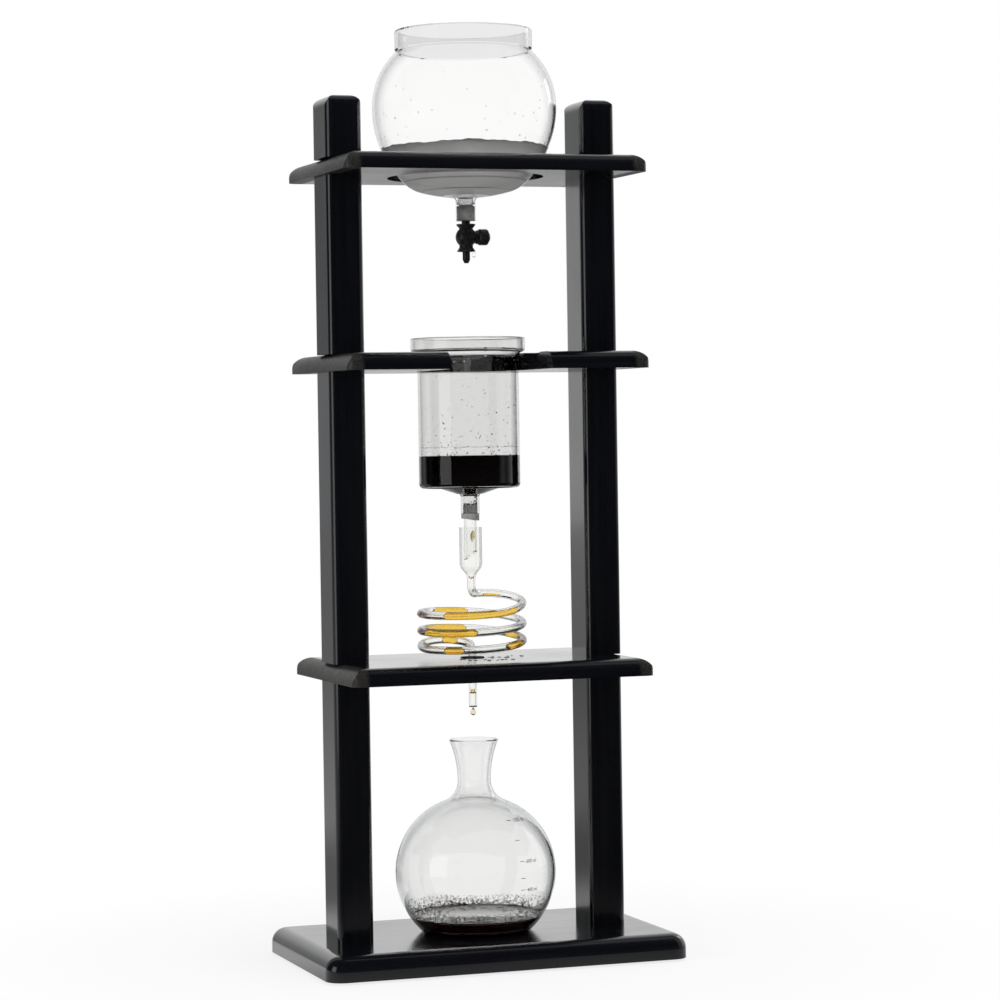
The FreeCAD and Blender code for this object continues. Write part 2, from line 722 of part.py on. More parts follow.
def column_outline(inset):
    """From the stem's end up to the rim, moved inwards by inset."""
    body_r = COLUMN_D / 2 - inset
    stem_inset = inset * COLUMN_STEM_WALL / COLUMN_WALL
    stem_r = COLUMN_STEM_D / 2 - stem_inset
    floor = COLUMN_FLOOR + inset
    tip = COLUMN_BOSS_TIP + inset
    heel = (COLUMN_D / 2 - COLUMN_HEEL_R, COLUMN_FLOOR + COLUMN_HEEL_R)
    blend = (COLUMN_STEM_D / 2 + COLUMN_STEM_BLEND_R, COLUMN_BOSS_TIP - COLUMN_STEM_BLEND_R)
    path = [
        ((stem_r, COLUMN_STEM_END), None),
        ((stem_r, blend[1]), None),
        ((blend[0], tip), blend),
        ((COLUMN_BOSS_TIP_D / 2, tip), None),
        ((COLUMN_BOSS_D / 2, floor), None),
        ((heel[0], floor), None),
        ((body_r, heel[1]), heel),
        ((body_r, FLARE), None),
    ]
    rim_z = FLARE + COLUMN_FLARE
    path += s_curve(COLUMN_D / 2, FLARE, COLUMN_RIM_D / 2, rim_z, inset)
    lip = COLUMN_WALL / 2
    path.append(((COLUMN_RIM_D / 2 - inset, rim_z + COLUMN_RIM - lip), None))
    return path


def column_glass():
    """A straight glass with a flared rim, a dished floor and an outlet stem."""
    lip = COLUMN_WALL / 2
    lip_centre = (COLUMN_RIM_D / 2 - lip, FLARE + COLUMN_FLARE + COLUMN_RIM - lip)
    crown = (lip_centre[0], lip_centre[1] + lip)
    inner = reverse(column_outline(COLUMN_WALL))
    inner[0] = (inner[0][0], lip_centre)
    return turned(column_outline(0) + [(crown, lip_centre)] + inner)


def filter_gasket():
    """A silicone ring that lies on the column's floor and centres the disc."""
    bottom = COLUMN_FLOOR + COLUMN_WALL
    outer_r = COLUMN_D / 2 - COLUMN_HEEL_R
    return tube(2 * outer_r, 2 * (outer_r - GASKET_WIDTH), bottom, bottom + GASKET_THICK)


def filter_disc():
    """The perforated disc that holds the ground coffee back."""
    bottom = COLUMN_FLOOR + COLUMN_WALL + GASKET_THICK
    radius = COLUMN_D / 2 - COLUMN_WALL - FILTER_PLAY
    disc = Part.makeCylinder(radius, FILTER_THICK, V(0, 0, bottom))
    places = [V(0, 0, bottom)]
    for ring, ring_r in enumerate(FILTER_RINGS, 1):
        holes = FILTER_HOLES_PER_RING * ring
        for i in range(holes):
            angle = 2 * math.pi * i / holes
            places.append(V(ring_r * math.cos(angle), ring_r * math.sin(angle), bottom))
    holes = [Part.makeCylinder(FILTER_HOLE_D / 2, FILTER_THICK, place) for place in places]
    return disc.cut(holes[0].fuse(holes[1:]))


def slanted_below(low, rise, half_width):
    """A cutter under a plane that rises from low at -X to low + rise at +X."""
    reach = half_width + SMALL
    slope = rise / (2 * half_width)
    left = low - slope * SMALL
    right = low + rise + slope * SMALL
    floor = low - rise - 2 * half_width
    points = [V(-reach, -reach, floor), V(reach, -reach, floor), V(reach, -reach, right)]
    points += [V(-reach, -reach, left), points[0]]
    return Part.Face(Part.makePolygon(points)).extrude(V(0, 2 * reach, 0))


def tube_stopper():
    """The silicone stopper that holds the drip tube in the column's stem."""
    grip_r = COLUMN_BORE_R - SNUG
    collar_r = TUBE_STOPPER_COLLAR_D / 2
    bore_r = DRIP_TUBE_D / 2 + SNUG
    top = COLUMN_STEM_END + TUBE_STOPPER_GRIP
    end = COLUMN_STEM_END - TUBE_STOPPER_COLLAR
    ring = turned(corners(
        (bore_r, end),
        (collar_r, end),
        (collar_r, COLUMN_STEM_END),
        (grip_r, COLUMN_STEM_END),
        (grip_r, top),
        (bore_r, top),
    ))
    cutter = slanted_below(end, TUBE_STOPPER_SLANT, collar_r)
    cutter.rotate(V(0, 0, 0), AXIS, 180)
    return ring.cut(cutter)


def drip_tube():
    """The glass tube that leads into the funnel, cut on a slant."""
    radius = DRIP_TUBE_D / 2
    top = COLUMN_STEM_END + TUBE_STOPPER_GRIP
    glass = tube(DRIP_TUBE_D, DRIP_TUBE_D - 2 * DRIP_TUBE_WALL, top - DRIP_TUBE, top)
    return glass.cut(slanted_below(top - DRIP_TUBE, DRIP_TUBE_SLANT, radius))


# ---- Coil: its lead-in and tail are level arcs that touch the turns from inside

ARC_ANGLE = 18.0           # largest turn of one arc of the centre line
LEAD_ANGLE = 90.0          # the share of the fall that lead-in and tail have, as an angle of turns
LEAD_HOLD = LEAD_ANGLE / 3  # part of it that adds no rise of its own
COIL_ANGLE = 360.0 * COIL_TURNS
COIL_END = LEAD_ANGLE + COIL_ANGLE
LEAD_R = (COIL_R ** 2 - BEND_R ** 2) / (2 * COIL_R)
LEAD_SWEEP = 90 + math.degrees(math.atan2(LEAD_R, BEND_R))


def eased(x):
    """From 0 to 1 with a level start and end."""
    x = min(max(x, 0.0), 1.0)
    return x * x * (3 - 2 * x)


def on_circle(radius, degrees):
    return V(radius * math.cos(math.radians(degrees)), radius * math.sin(math.radians(degrees)), 0)


def coil_height(turned_by, y):
    """Height of the centre line, by the angle turned since its start and its place in depth."""
    height = LOWER_TOP + COIL_STAND_OFF + COIL_PITCH * (COIL_END - turned_by) / 360
    height += COIL_LEAN * y / COIL_R
    height += LEAD_RISE * (1 - eased((turned_by - LEAD_HOLD) / (LEAD_ANGLE + LEAD_HOLD)))
    return height + TAIL_RISE * eased((turned_by - COIL_END + LEAD_HOLD) / LEAD_ANGLE)


def arc_corners(centre, radius, angle, sweep, turned_by, share):
    """Where the tangents of an arc cross that starts at angle and turns clockwise by sweep."""
    steps = math.ceil(sweep / ARC_ANGLE)
    corner_r = radius / math.cos(math.radians(sweep / steps / 2))
    points = []
    for i in range(steps):
        done = (i + 0.5) / steps
        point = centre + on_circle(corner_r, angle - sweep * done)
        point.z = coil_height(turned_by + share * done, point.y)
        points.append(point)
    return points


UPPER_BEND = coil_height(0, 0)
LOWER_BEND = coil_height(COIL_END + LEAD_ANGLE, 0)
FUNNEL_BOTTOM = UPPER_BEND + BEND_R + COIL_STUB
FUNNEL_TOP = FUNNEL_BOTTOM + FUNNEL_TAPER + FUNNEL_CUP
OUTLET_TOP = LOWER_BEND - BEND_R - COIL_STUB


def coil_corners():
    """The corners that the bent tube would have if its bends were sharp."""
    start = COIL_EXIT_ANGLE
    end = COIL_EXIT_ANGLE - COIL_ANGLE
    lead = on_circle(COIL_R - LEAD_R, start)
    tail = on_circle(COIL_R - LEAD_R, end)
    points = [V(0, 0, FUNNEL_BOTTOM), V(0, 0, UPPER_BEND)]
    points += arc_corners(lead, LEAD_R, start + LEAD_SWEEP, LEAD_SWEEP, 0, LEAD_ANGLE)
    points += arc_corners(V(0, 0, 0), COIL_R, start, COIL_ANGLE, LEAD_ANGLE, COIL_ANGLE)
    points += arc_corners(tail, LEAD_R, end, LEAD_SWEEP, COIL_END, LEAD_ANGLE)
    return points + [V(0, 0, LOWER_BEND), V(0, 0, OUTLET_TOP)]


def coil_path():
    """The centre line of the bent tube: an arc at each corner, each tangent to the next."""
    points = coil_corners()
    reach = BEND_R
    edges = [Part.makeLine(points[0], points[1] + V(0, 0, reach))]
    for before, corner, after in zip(points, points[1:], points[2:]):
        back = (before - corner).normalize()
        onward = (after - corner).normalize()
        inward = (back + onward).normalize()
        half = back.getAngle(inward)
        depth = reach / math.cos(half) - reach * math.tan(half)
        edges.append(Part.Arc(corner + back * reach, corner + inward * depth,
                              corner + onward * reach).toShape())
        last = corner + onward * reach
        reach = (after - corner).Length - reach
    edges.append(Part.makeLine(last, points[-1]))
    return Part.Wire(edges)


def funnel():
    """The cup above the coil and its S-shaped taper into the tube."""
    taper_top = FUNNEL_BOTTOM + FUNNEL_TAPER
    paths = []
    for tube_r, cup_r in (
        (TUBE_D / 2, FUNNEL_D / 2),
        (TUBE_BORE_D / 2, FUNNEL_D / 2 - FUNNEL_WALL),
    ):
        path = corners((tube_r, FUNNEL_BOTTOM))
        path += s_curve(tube_r, FUNNEL_BOTTOM, cup_r, taper_top, 0)
        paths.append(path + corners((cup_r, FUNNEL_TOP)))
    return turned(paths[0] + reverse(paths[1]))


def outlet():
    """The straight tube through the lower shelf, its bore drawn in at one place."""
    end = LOWER_SHELF - OUTLET_DROP
    radius = TUBE_D / 2
    bore_r = TUBE_BORE_D / 2
    throat_r = OUTLET_THROAT_D / 2
    throat = end + OUTLET_THROAT
    half = 2 * (bore_r - throat_r)
    return turned(corners(
        (bore_r, end),
        (radius, end),
        (radius, OUTLET_TOP),
        (bore_r, OUTLET_TOP),
        (bore_r, throat + half),
        (throat_r, throat),
        (bore_r, throat - half),
    ))


def coil_glass():
    """Funnel, turns and outlet, melted together."""
    path = coil_path()
    start = V(0, 0, FUNNEL_BOTTOM)
    turns = []
    for width in (TUBE_D, TUBE_BORE_D):
        end_face = Part.Face(Part.Wire(Part.makeCircle(width / 2, start)))
        turns.append(path.makePipe(end_face))
    return turns[0].cut(turns[1]).fuse([funnel(), outlet()])


# ---- Flask

def flask_outline(inset):
    """From the middle of the bottom up to the rim, moved inwards by inset."""
    bottom = BASE_TOP + SEAT_GAP
    middle_z = bottom + FLASK_MIDDLE
    radius = FLASK_D / 2
    lower = (0, middle_z)
    upper = (radius - FLASK_UPPER_R, middle_z)
    heel_z = bottom + FLASK_HEEL_R
    heel_r = math.sqrt((radius - FLASK_HEEL_R) ** 2 - (middle_z - heel_z) ** 2)
    heel = (heel_r, heel_z)
    shoulder_r = FLASK_WAIST_D / 2 + FLASK_SHOULDER_R
    shoulder_reach = FLASK_UPPER_R + FLASK_SHOULDER_R
    waist_z = middle_z + math.sqrt(shoulder_reach ** 2 - (shoulder_r - upper[0]) ** 2)
    shoulder = (shoulder_r, waist_z)
    flare = (FLASK_WAIST_D / 2 + FLASK_FLARE_R, waist_z)
    rim_z = bottom + FLASK_HEIGHT - FLASK_WALL / 2
    rim_r = flare[0] - math.sqrt((FLASK_FLARE_R + inset) ** 2 - (rim_z - waist_z) ** 2)
    return [
        ((0, bottom + inset), None),
        ((heel_r, bottom + inset), None),
        (towards(lower, heel, radius - inset), heel),
        ((radius - inset, middle_z), lower),
        (towards(upper, shoulder, FLASK_UPPER_R - inset), upper),
        ((FLASK_WAIST_D / 2 - inset, waist_z), shoulder),
        ((rim_r, rim_z), flare),
    ]


def flask_glass():
    """A flat-bottomed flask with a waisted neck and a rounded lip."""
    outer = flask_outline(0)
    inner = reverse(flask_outline(FLASK_WALL))
    outer_r, rim_z = outer[-1][0]
    inner_r = inner[0][0][0]
    lip = ((outer_r + inner_r) / 2, rim_z)
    crown = (lip[0], rim_z + (outer_r - inner_r) / 2)
    inner[0] = (inner[0][0], lip)
    return turned(outer + [(crown, lip)] + inner)


# ---- Write every piece

def export(name, shape):
    shape.exportStep(f"parts/{name}.step")


def main():
    os.makedirs("parts", exist_ok=True)
    for side, place in zip(("left", "right"), post_places()):
        for name, z0, z1 in SECTIONS:
            export(f"{side}_post_{name}", moved(section(z0, z1), place))
        export(f"{side}_post_cap", moved(cap(), place))
    pieces = (foot_pads, base_board, base_bolts, post_inserts, shelf_studs)
    pieces += (lower_shelf, grommet, middle_shelf, upper_shelf)
    pieces += (globe_glass, valve_stopper, valve_body, valve_plug, plug_rings, valve_knob)
    pieces += (column_glass, filter_gasket, filter_disc, tube_stopper, drip_tube)
    pieces += (coil_glass, flask_glass)
    for piece in pieces:
        export(piece.__name__, piece())


main()
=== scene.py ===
"""Looks of the cold drip coffee tower: materials, contents of the vessels, light and camera.

Metres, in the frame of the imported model. What the vessels hold is made here: water in the globe,
wet coffee in the column, coffee in the coil and the flask, drops and froth. So is the flask's print.
"""

import bmesh
import bpy
import json
import math
import random
from mathutils import Matrix, Vector


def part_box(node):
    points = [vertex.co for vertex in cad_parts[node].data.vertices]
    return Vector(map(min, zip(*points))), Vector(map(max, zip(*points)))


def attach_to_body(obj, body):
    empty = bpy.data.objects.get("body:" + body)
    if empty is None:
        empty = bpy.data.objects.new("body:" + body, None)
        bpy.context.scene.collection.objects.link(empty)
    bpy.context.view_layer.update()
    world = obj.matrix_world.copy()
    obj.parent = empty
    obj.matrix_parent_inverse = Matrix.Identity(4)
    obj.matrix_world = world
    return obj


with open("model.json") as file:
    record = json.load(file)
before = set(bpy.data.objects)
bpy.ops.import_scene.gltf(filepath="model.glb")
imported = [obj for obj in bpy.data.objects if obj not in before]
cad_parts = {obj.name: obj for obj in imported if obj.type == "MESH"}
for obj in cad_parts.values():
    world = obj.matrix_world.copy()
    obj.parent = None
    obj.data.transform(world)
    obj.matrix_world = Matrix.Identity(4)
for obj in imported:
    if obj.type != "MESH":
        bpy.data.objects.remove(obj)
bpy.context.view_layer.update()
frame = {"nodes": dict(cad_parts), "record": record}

MM = 0.001
WETTING = 0.05 * MM        # how far a liquid reaches into its glass, so that no air shows between them
SKIN = 0.06 * MM           # between a liquid and what isn't glass
ON_AXIS = 1e-7             # a point of a profile that is nearer than this lies on the axis
UP = Vector((0, 0, 1))


# ---- Meshes

def add_object(name, mesh, material, smooth=True):
    """A piece made of this mesh."""
    for polygon in mesh.polygons:
        polygon.use_smooth = smooth
    piece = bpy.data.objects.new(name, mesh)
    bpy.context.scene.collection.objects.link(piece)
    piece.data.materials.append(material)
    return piece


def from_bmesh(name, bm, material):
    """A piece made of this bmesh, which is used up."""
    bmesh.ops.recalc_face_normals(bm, faces=bm.faces)
    mesh = bpy.data.meshes.new(name)
    bm.to_mesh(mesh)
    bm.free()
    return add_object(name, mesh, material)


def lathe(name, profile, material, sides=128):
    """A closed solid of revolution; a profile whose ends lie off the axis is closed to a ring."""
    bm = bmesh.new()
    rings = []
    ring_shaped = profile[0][0] > ON_AXIS
    for r, z in profile:
        if r < ON_AXIS:
            rings.append([bm.verts.new((0, 0, z))])
        else:
            ring = []
            for i in range(sides):
                angle = 2 * math.pi * i / sides
                ring.append(bm.verts.new((r * math.cos(angle), r * math.sin(angle), z)))
            rings.append(ring)
    if ring_shaped:
        rings.append(rings[0])
    for low, high in zip(rings, rings[1:]):
        for i in range(sides):
            j = (i + 1) % sides
            corners = [low[i % len(low)], low[j % len(low)], high[j % len(high)], high[i % len(high)]]
            bm.faces.new(list(dict.fromkeys(corners)))
    return from_bmesh(name, bm, material)


def arc(centre, radius, start, end, steps):
    """Points of an arc in the (r, z) half plane, by angles from +r in degrees."""
    points = []
    for i in range(steps + 1):
        angle = math.radians(start + (end - start) * i / steps)
        points.append((centre[0] + radius * math.cos(angle), centre[1] + radius * math.sin(angle)))
    return points


def swept(name, path, radius, material, sides=20, blunt=0.55):
    """A round bar along a path; blunt is the share of its radius that its two ends keep."""
    bm = bmesh.new()
    rings = []
    side = (path[1] - path[0]).orthogonal().normalized()
    for i, point in enumerate(path):
        ahead = (path[min(i + 1, len(path) - 1)] - path[max(i - 1, 0)]).normalized()
        side = (side - ahead * side.dot(ahead)).normalized()
        other = ahead.cross(side)
        width = radius * (blunt if i in (0, len(path) - 1) else 1)
        ring = []
        for k in range(sides):
            angle = 2 * math.pi * k / sides
            ring.append(bm.verts.new(point + (side * math.cos(angle) + other * math.sin(angle)) * width))
        rings.append(ring)
    for low, high in zip(rings, rings[1:]):
        for k in range(sides):
            j = (k + 1) % sides
            bm.faces.new((low[k], low[j], high[j], high[k]))
    bm.faces.new(rings[0])
    bm.faces.new(rings[-1])
    return from_bmesh(name, bm, material)


def beads(name, places, material, detail=2):
    """Drops, bubbles or specks: each place is (point, normal, radius, height as a share of it)."""
    bm = bmesh.new()
    for point, normal, radius, height in places:
        turn = normal.to_track_quat("Z", "Y").to_matrix().to_4x4()
        size = Matrix.Diagonal((radius, radius, radius * height, 1))
        bmesh.ops.create_icosphere(bm, subdivisions=detail, radius=1,
                                   matrix=Matrix.Translation(point) @ turn @ size)
    return from_bmesh(name, bm, material)


def outwards(degrees):
    """The level direction at this angle from +X."""
    return Vector((math.cos(math.radians(degrees)), math.sin(math.radians(degrees)), 0))


# ---- Materials

def new_material(name, **sockets):
    """A Principled material with these constants on its sockets."""
    material = bpy.data.materials.new(name)
    material.use_nodes = True
    shader = material.node_tree.nodes["Principled BSDF"]
    for socket, value in sockets.items():
        shader.inputs[socket.replace("_", " ")].default_value = value
    return material


def add_node(owner, kind, properties=None, **inputs):
    """A shader node in the tree of a material or world."""
    node = owner.node_tree.nodes.new("ShaderNode" + kind)
    for key, value in (properties or {}).items():
        setattr(node, key, value)
    for socket, value in inputs.items():
        attach(owner, value, node.inputs[socket.replace("_", " ")])
    return node


def attach(owner, value, socket):
    """Link an output to a socket, or set a constant on it."""
    if isinstance(value, bpy.types.NodeSocket):
        owner.node_tree.links.new(value, socket)
    else:
        socket.default_value = value


def connect(material, output, socket):
    """Link an output to a socket of the material's shader."""
    shader = material.node_tree.nodes["Principled BSDF"]
    material.node_tree.links.new(output, shader.inputs[socket])


def maths(owner, operation, first, second):
    """The result of an operation on two numbers or outputs."""
    node = add_node(owner, "Math", {"operation": operation})
    attach(owner, first, node.inputs[0])
    attach(owner, second, node.inputs[1])
    return node.outputs["Value"]


def noise(material, scale, detail=3, stretch=(1, 1, 1)):
    """Noise in the model's own frame; it changes scale times stretch times in a metre of each axis."""
    place = add_node(material, "TexCoord").outputs["Object"]
    mapped = add_node(material, "Mapping", Vector=place, Scale=stretch).outputs["Vector"]
    return add_node(material, "TexNoise", Vector=mapped, Scale=scale, Detail=detail).outputs["Fac"]


def ramp(owner, value, *stops):
    """A colour that follows value through these (position, colour) stops."""
    node = add_node(owner, "ValToRGB", Fac=value)
    elements = node.color_ramp.elements
    while len(elements) < len(stops):
        elements.new(0.5)
    for element, (position, colour) in zip(elements, stops):
        element.position = position
        element.color = (*colour, 1)
    return node.outputs["Color"]


def between(owner, value, low, high, start, end):
    """A number from start to end, as value goes from low to high."""
    node = add_node(owner, "MapRange", {"clamp": True}, Value=value)
    for socket, number in zip(("From Min", "From Max", "To Min", "To Max"), (low, high, start, end)):
        node.inputs[socket].default_value = number
    return node.outputs["Result"]


def blend(owner, share, first, second):
    """A colour on the way from first to second."""
    node = add_node(owner, "Mix", {"data_type": "RGBA"})
    for value, socket in ((share, node.inputs[0]), (first, node.inputs[6]), (second, node.inputs[7])):
        attach(owner, value, socket)
    return node.outputs[2]


def bump(material, height, strength, distance):
    """Fine relief on the surface."""
    node = add_node(material, "Bump", Height=height, Strength=strength, Distance=distance)
    connect(material, node.outputs["Normal"], "Normal")
    return node.outputs["Normal"]


def edge_shade_share(material, start, end):
    """From 0 to 1 where the surface turns away from the eye, for the painted shade of a dark rim there: it
    stands in for the rim that refraction shows and for the longer path through it.
    """
    facing = add_node(material, "LayerWeight", Blend=0.5).outputs["Facing"]
    return between(material, facing, start, end, 0.0, 1.0)


def place_along(material, axis):
    """How far a point lies along the model's X, Y or Z."""
    place = add_node(material, "TexCoord").outputs["Object"]
    return add_node(material, "SeparateXYZ", Vector=place).outputs[axis]


ACROSS_GRAIN = 240         # how often the grain changes in a metre
ALONG_GRAIN = 6
WATER_IOR = 1.33
SILICONE_IOR = 1.41


def lacquered_wood(name, grain_axis, turn=0.0, end_grain=None):
    """Black stained wood under a smooth lacquer, its grain along one axis.

    A piece that stands turned on its studs by these degrees mirrors another part of the room. From
    end_grain outwards along X the lacquer has sunk in, and the wood is dull and shows its pores.
    """
    wood = new_material(name, Specular_IOR_Level=0.5, Coat_Weight=0.3, Coat_Roughness=0.06)
    stretch = [ACROSS_GRAIN] * 3
    stretch[grain_axis] = ALONG_GRAIN
    grain = noise(wood, 1.0, 6, stretch)
    smudge = noise(wood, 9.0, 4)
    colour = ramp(wood, grain, (0.35, (0.0026, 0.0029, 0.0045)), (0.75, (0.0052, 0.0056, 0.0074)))
    rough = between(wood, grain, 0.3, 0.75, 0.14, 0.21)
    rough = maths(wood, "ADD", rough, between(wood, smudge, 0.35, 0.7, -0.03, 0.06))
    if end_grain:
        out = maths(wood, "ABSOLUTE", place_along(wood, "X"), 0.0)
        dull = between(wood, out, end_grain, end_grain + 4 * MM, 0.0, 1.0)
        pores = ramp(wood, noise(wood, 1.0, 5, (900, 160, 900)), (0.3, (0.006, 0.006, 0.006)),
                     (0.75, (0.040, 0.038, 0.034)))
        colour = blend(wood, dull, colour, pores)
        rough = maths(wood, "ADD", rough, maths(wood, "MULTIPLY", dull, 0.22))
        shader = wood.node_tree.nodes["Principled BSDF"]
        shader.inputs["Specular IOR Level"].default_value = 0.22
        shader.inputs["Coat Roughness"].default_value = 0.12
        connect(wood, between(wood, dull, 0.0, 1.0, 0.5, 0.0), "Coat Weight")
    connect(wood, colour, "Base Color")
    connect(wood, rough, "Roughness")
    relief = bump(wood, grain, 0.06, 0.1 * MM)
    if turn:
        turned_relief = add_node(wood, "VectorRotate", {"rotation_type": "Z_AXIS"}, Vector=relief,
                                 Angle=math.radians(turn)).outputs["Vector"]
        connect(wood, turned_relief, "Normal")
        connect(wood, turned_relief, "Coat Normal")
    return wood


def clear_glass(name, tint, edge, ior, start=0.5, end=0.95, upper=None):
    """Blown glass, greyed by painted shade where it turns away, with faint waves and a trace of smudges.

    The edge's colour is painted shade, the dark rim that curved glass shows; it comes in from start to end,
    which are shares of the turn away from the eye. upper is the height and the tint of thicker, greyer glass
    from there up.
    """
    glass = new_material(name, Transmission_Weight=1.0, IOR=ior)
    body = (*tint, 1)
    if upper:
        height, upper_tint = upper
        above = between(glass, place_along(glass, "Z"), height - 1 * MM, height + 1 * MM, 0.0, 1.0)
        body = blend(glass, above, body, (*upper_tint, 1))
    # painted shade: the edge colour darkens the glass where it turns away
    connect(glass, blend(glass, edge_shade_share(glass, start, end), body, (*edge, 1)), "Base Color")
    connect(glass, between(glass, noise(glass, 45.0, 4), 0.55, 0.85, 0.0, 0.03), "Roughness")
    bump(glass, noise(glass, 30.0, 1), 0.03, 1.0 * MM)
    return glass


def black_plastic():
    """A black moulding with a soft shine and faint flow marks."""
    plastic = new_material("black_plastic", Specular_IOR_Level=0.5)
    marks = noise(plastic, 500.0, 3)
    black = ramp(plastic, marks, (0.3, (0.006, 0.006, 0.008)), (0.7, (0.016, 0.016, 0.018)))
    connect(plastic, black, "Base Color")
    connect(plastic, between(plastic, marks, 0.3, 0.7, 0.32, 0.42), "Roughness")
    bump(plastic, marks, 0.08, 0.1 * MM)
    return plastic


def silicone(name, dark, light, transmission):
    """Frosted silicone, a little cloudy."""
    rubber = new_material(name, Transmission_Weight=transmission, IOR=SILICONE_IOR)
    cloud = noise(rubber, 260.0, 4)
    connect(rubber, ramp(rubber, cloud, (0.3, dark), (0.75, light)), "Base Color")
    connect(rubber, between(rubber, cloud, 0.3, 0.7, 0.35, 0.55), "Roughness")
    bump(rubber, noise(rubber, 1800.0, 2), 0.15, 0.1 * MM)
    return rubber


def black_rubber():
    """Matt rubber with a fine grit."""
    rubber = new_material("black_rubber", Specular_IOR_Level=0.35)
    grit = noise(rubber, 1500.0, 4)
    black = ramp(rubber, grit, (0.3, (0.006, 0.006, 0.006)), (0.8, (0.02, 0.02, 0.019)))
    connect(rubber, black, "Base Color")
    connect(rubber, between(rubber, grit, 0.3, 0.7, 0.6, 0.8), "Roughness")
    bump(rubber, grit, 0.3, 0.1 * MM)
    return rubber


def turned_metal(name, dark, light):
    """Metal with fine marks of its making."""
    metal = new_material(name, Metallic=1.0)
    marks = noise(metal, 1.0, 4, (300, 300, 4000))
    connect(metal, ramp(metal, marks, (0.3, dark), (0.7, light)), "Base Color")
    connect(metal, between(metal, marks, 0.3, 0.7, 0.22, 0.42), "Roughness")
    bump(metal, marks, 0.1, 0.05 * MM)
    return metal


def clouded_water():
    """Water made milky by fine bubbles, palest near its surface."""
    liquid = new_material("clouded_water", Transmission_Weight=1.0, IOR=WATER_IOR)
    cloud = noise(liquid, 28.0, 4)
    deep = ramp(liquid, cloud, (0.32, (0.46, 0.457, 0.445)), (0.68, (0.58, 0.577, 0.562)))
    shallow = ramp(liquid, cloud, (0.32, (0.47, 0.472, 0.475)), (0.68, (0.66, 0.662, 0.666)))
    rise = between(liquid, place_along(liquid, "Z"), WATER_LEVEL - 24 * MM, WATER_LEVEL - 8 * MM, 0.0, 1.0)
    connect(liquid, blend(liquid, rise, deep, shallow), "Base Color")
    connect(liquid, between(liquid, cloud, 0.35, 0.7, 0.45, 0.6), "Roughness")
    return liquid


def wet_grounds(name, gloss):
    """Ground coffee in black liquid; gloss is next to nothing where glass lies against it."""
    coffee = new_material(name, Specular_IOR_Level=gloss)
    grains = noise(coffee, 900.0, 5)
    colour = ramp(coffee, grains, (0.35, (0.0018, 0.0010, 0.0010)), (0.8, (0.010, 0.0055, 0.004)))
    connect(coffee, colour, "Base Color")
    connect(coffee, between(coffee, grains, 0.3, 0.7, 0.3, 0.55), "Roughness")
    bump(coffee, grains, 0.2, 0.2 * MM)
    return coffee


def brewed_coffee(name, thin, thick, transmission, edge, coat=0.0):
    """Coffee that drifts between a thin and a thick tint; coat is the film on a still surface."""
    coffee = new_material(name, Transmission_Weight=transmission, IOR=WATER_IOR, Coat_Weight=coat)
    drift = ramp(coffee, noise(coffee, 120.0, 3), (0.3, thick), (0.75, thin))
    # The edge colour is partly painted shade of the coffee's dark rim, and partly the longer path through the
    # coffee there.
    connect(coffee, blend(coffee, edge_shade_share(coffee, 0.8, 1.0), drift, (*edge, 1)), "Base Color")
    connect(coffee, between(coffee, noise(coffee, 60.0, 2), 0.3, 0.7, 0.02, 0.05), "Roughness")
    return coffee


def fine_water(name, tint, edge):
    """Clear drops and bubbles, with painted shade darkening their rim."""
    drop = new_material(name, Transmission_Weight=1.0, IOR=WATER_IOR)
    # the rim's grey is painted shade, the dark outline of a drop or bubble
    connect(drop, blend(drop, edge_shade_share(drop, 0.5, 0.9), (*tint, 1), (edge, edge, edge, 1)), "Base Color")
    connect(drop, between(drop, noise(drop, 300.0, 2), 0.4, 0.7, 0.0, 0.02), "Roughness")
    return drop


def print_grey():
    """The worn print of the graduations."""
    ink = new_material("graduation_print", Specular_IOR_Level=0.2)
    wear = noise(ink, 700.0, 4)
    connect(ink, ramp(ink, wear, (0.35, (0.035, 0.035, 0.035)), (0.7, (0.12, 0.12, 0.12))), "Base Color")
    connect(ink, between(ink, wear, 0.3, 0.7, 0.5, 0.8), "Roughness")
    return ink


# ---- Places that follow from the frame

globe_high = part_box("globe_glass")[1]
column_low, column_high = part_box("column_glass")
flask_low, flask_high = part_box("flask_glass")
coil_low, coil_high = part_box("coil_glass")
tube_low, tube_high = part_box("drip_tube")
stopper_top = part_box("valve_stopper")[1].z
tube_stopper_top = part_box("tube_stopper")[1].z
disc_low, disc_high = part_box("filter_disc")
gasket_low, gasket_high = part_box("filter_gasket")
shelf_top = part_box("lower_shelf")[1].z
shelf_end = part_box("upper_shelf")[1].x
nozzle_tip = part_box("valve_body")[0].z

END_GRAIN = shelf_end - 14 * MM            # from here out to a shelf's end its cut end shows

GLOBE_GROOVE = globe_high.z - 17 * MM      # under the neck
GLOBE_MIDDLE = globe_high.z - 62.8 * MM    # the widest line, below the rim
GLOBE_FLOOR = GLOBE_MIDDLE - 73.9 * MM
GLOBE_WALL = 2.0 * MM
GLOBE_UPPER_R = 62.0 * MM                  # of its profile, above the widest line
GLOBE_LOWER_R = 87.0 * MM                  # and below it
GLOBE_DISH_R = 140.0 * MM
GLOBE_HEEL_R = 30.0 * MM
GLOBE_STEM_BORE_R = 6.4 * MM
WATER_LEVEL = GLOBE_FLOOR + 41.7 * MM
WATER_DIP = 0.9 * MM                       # the surface lies this much below the water's edge

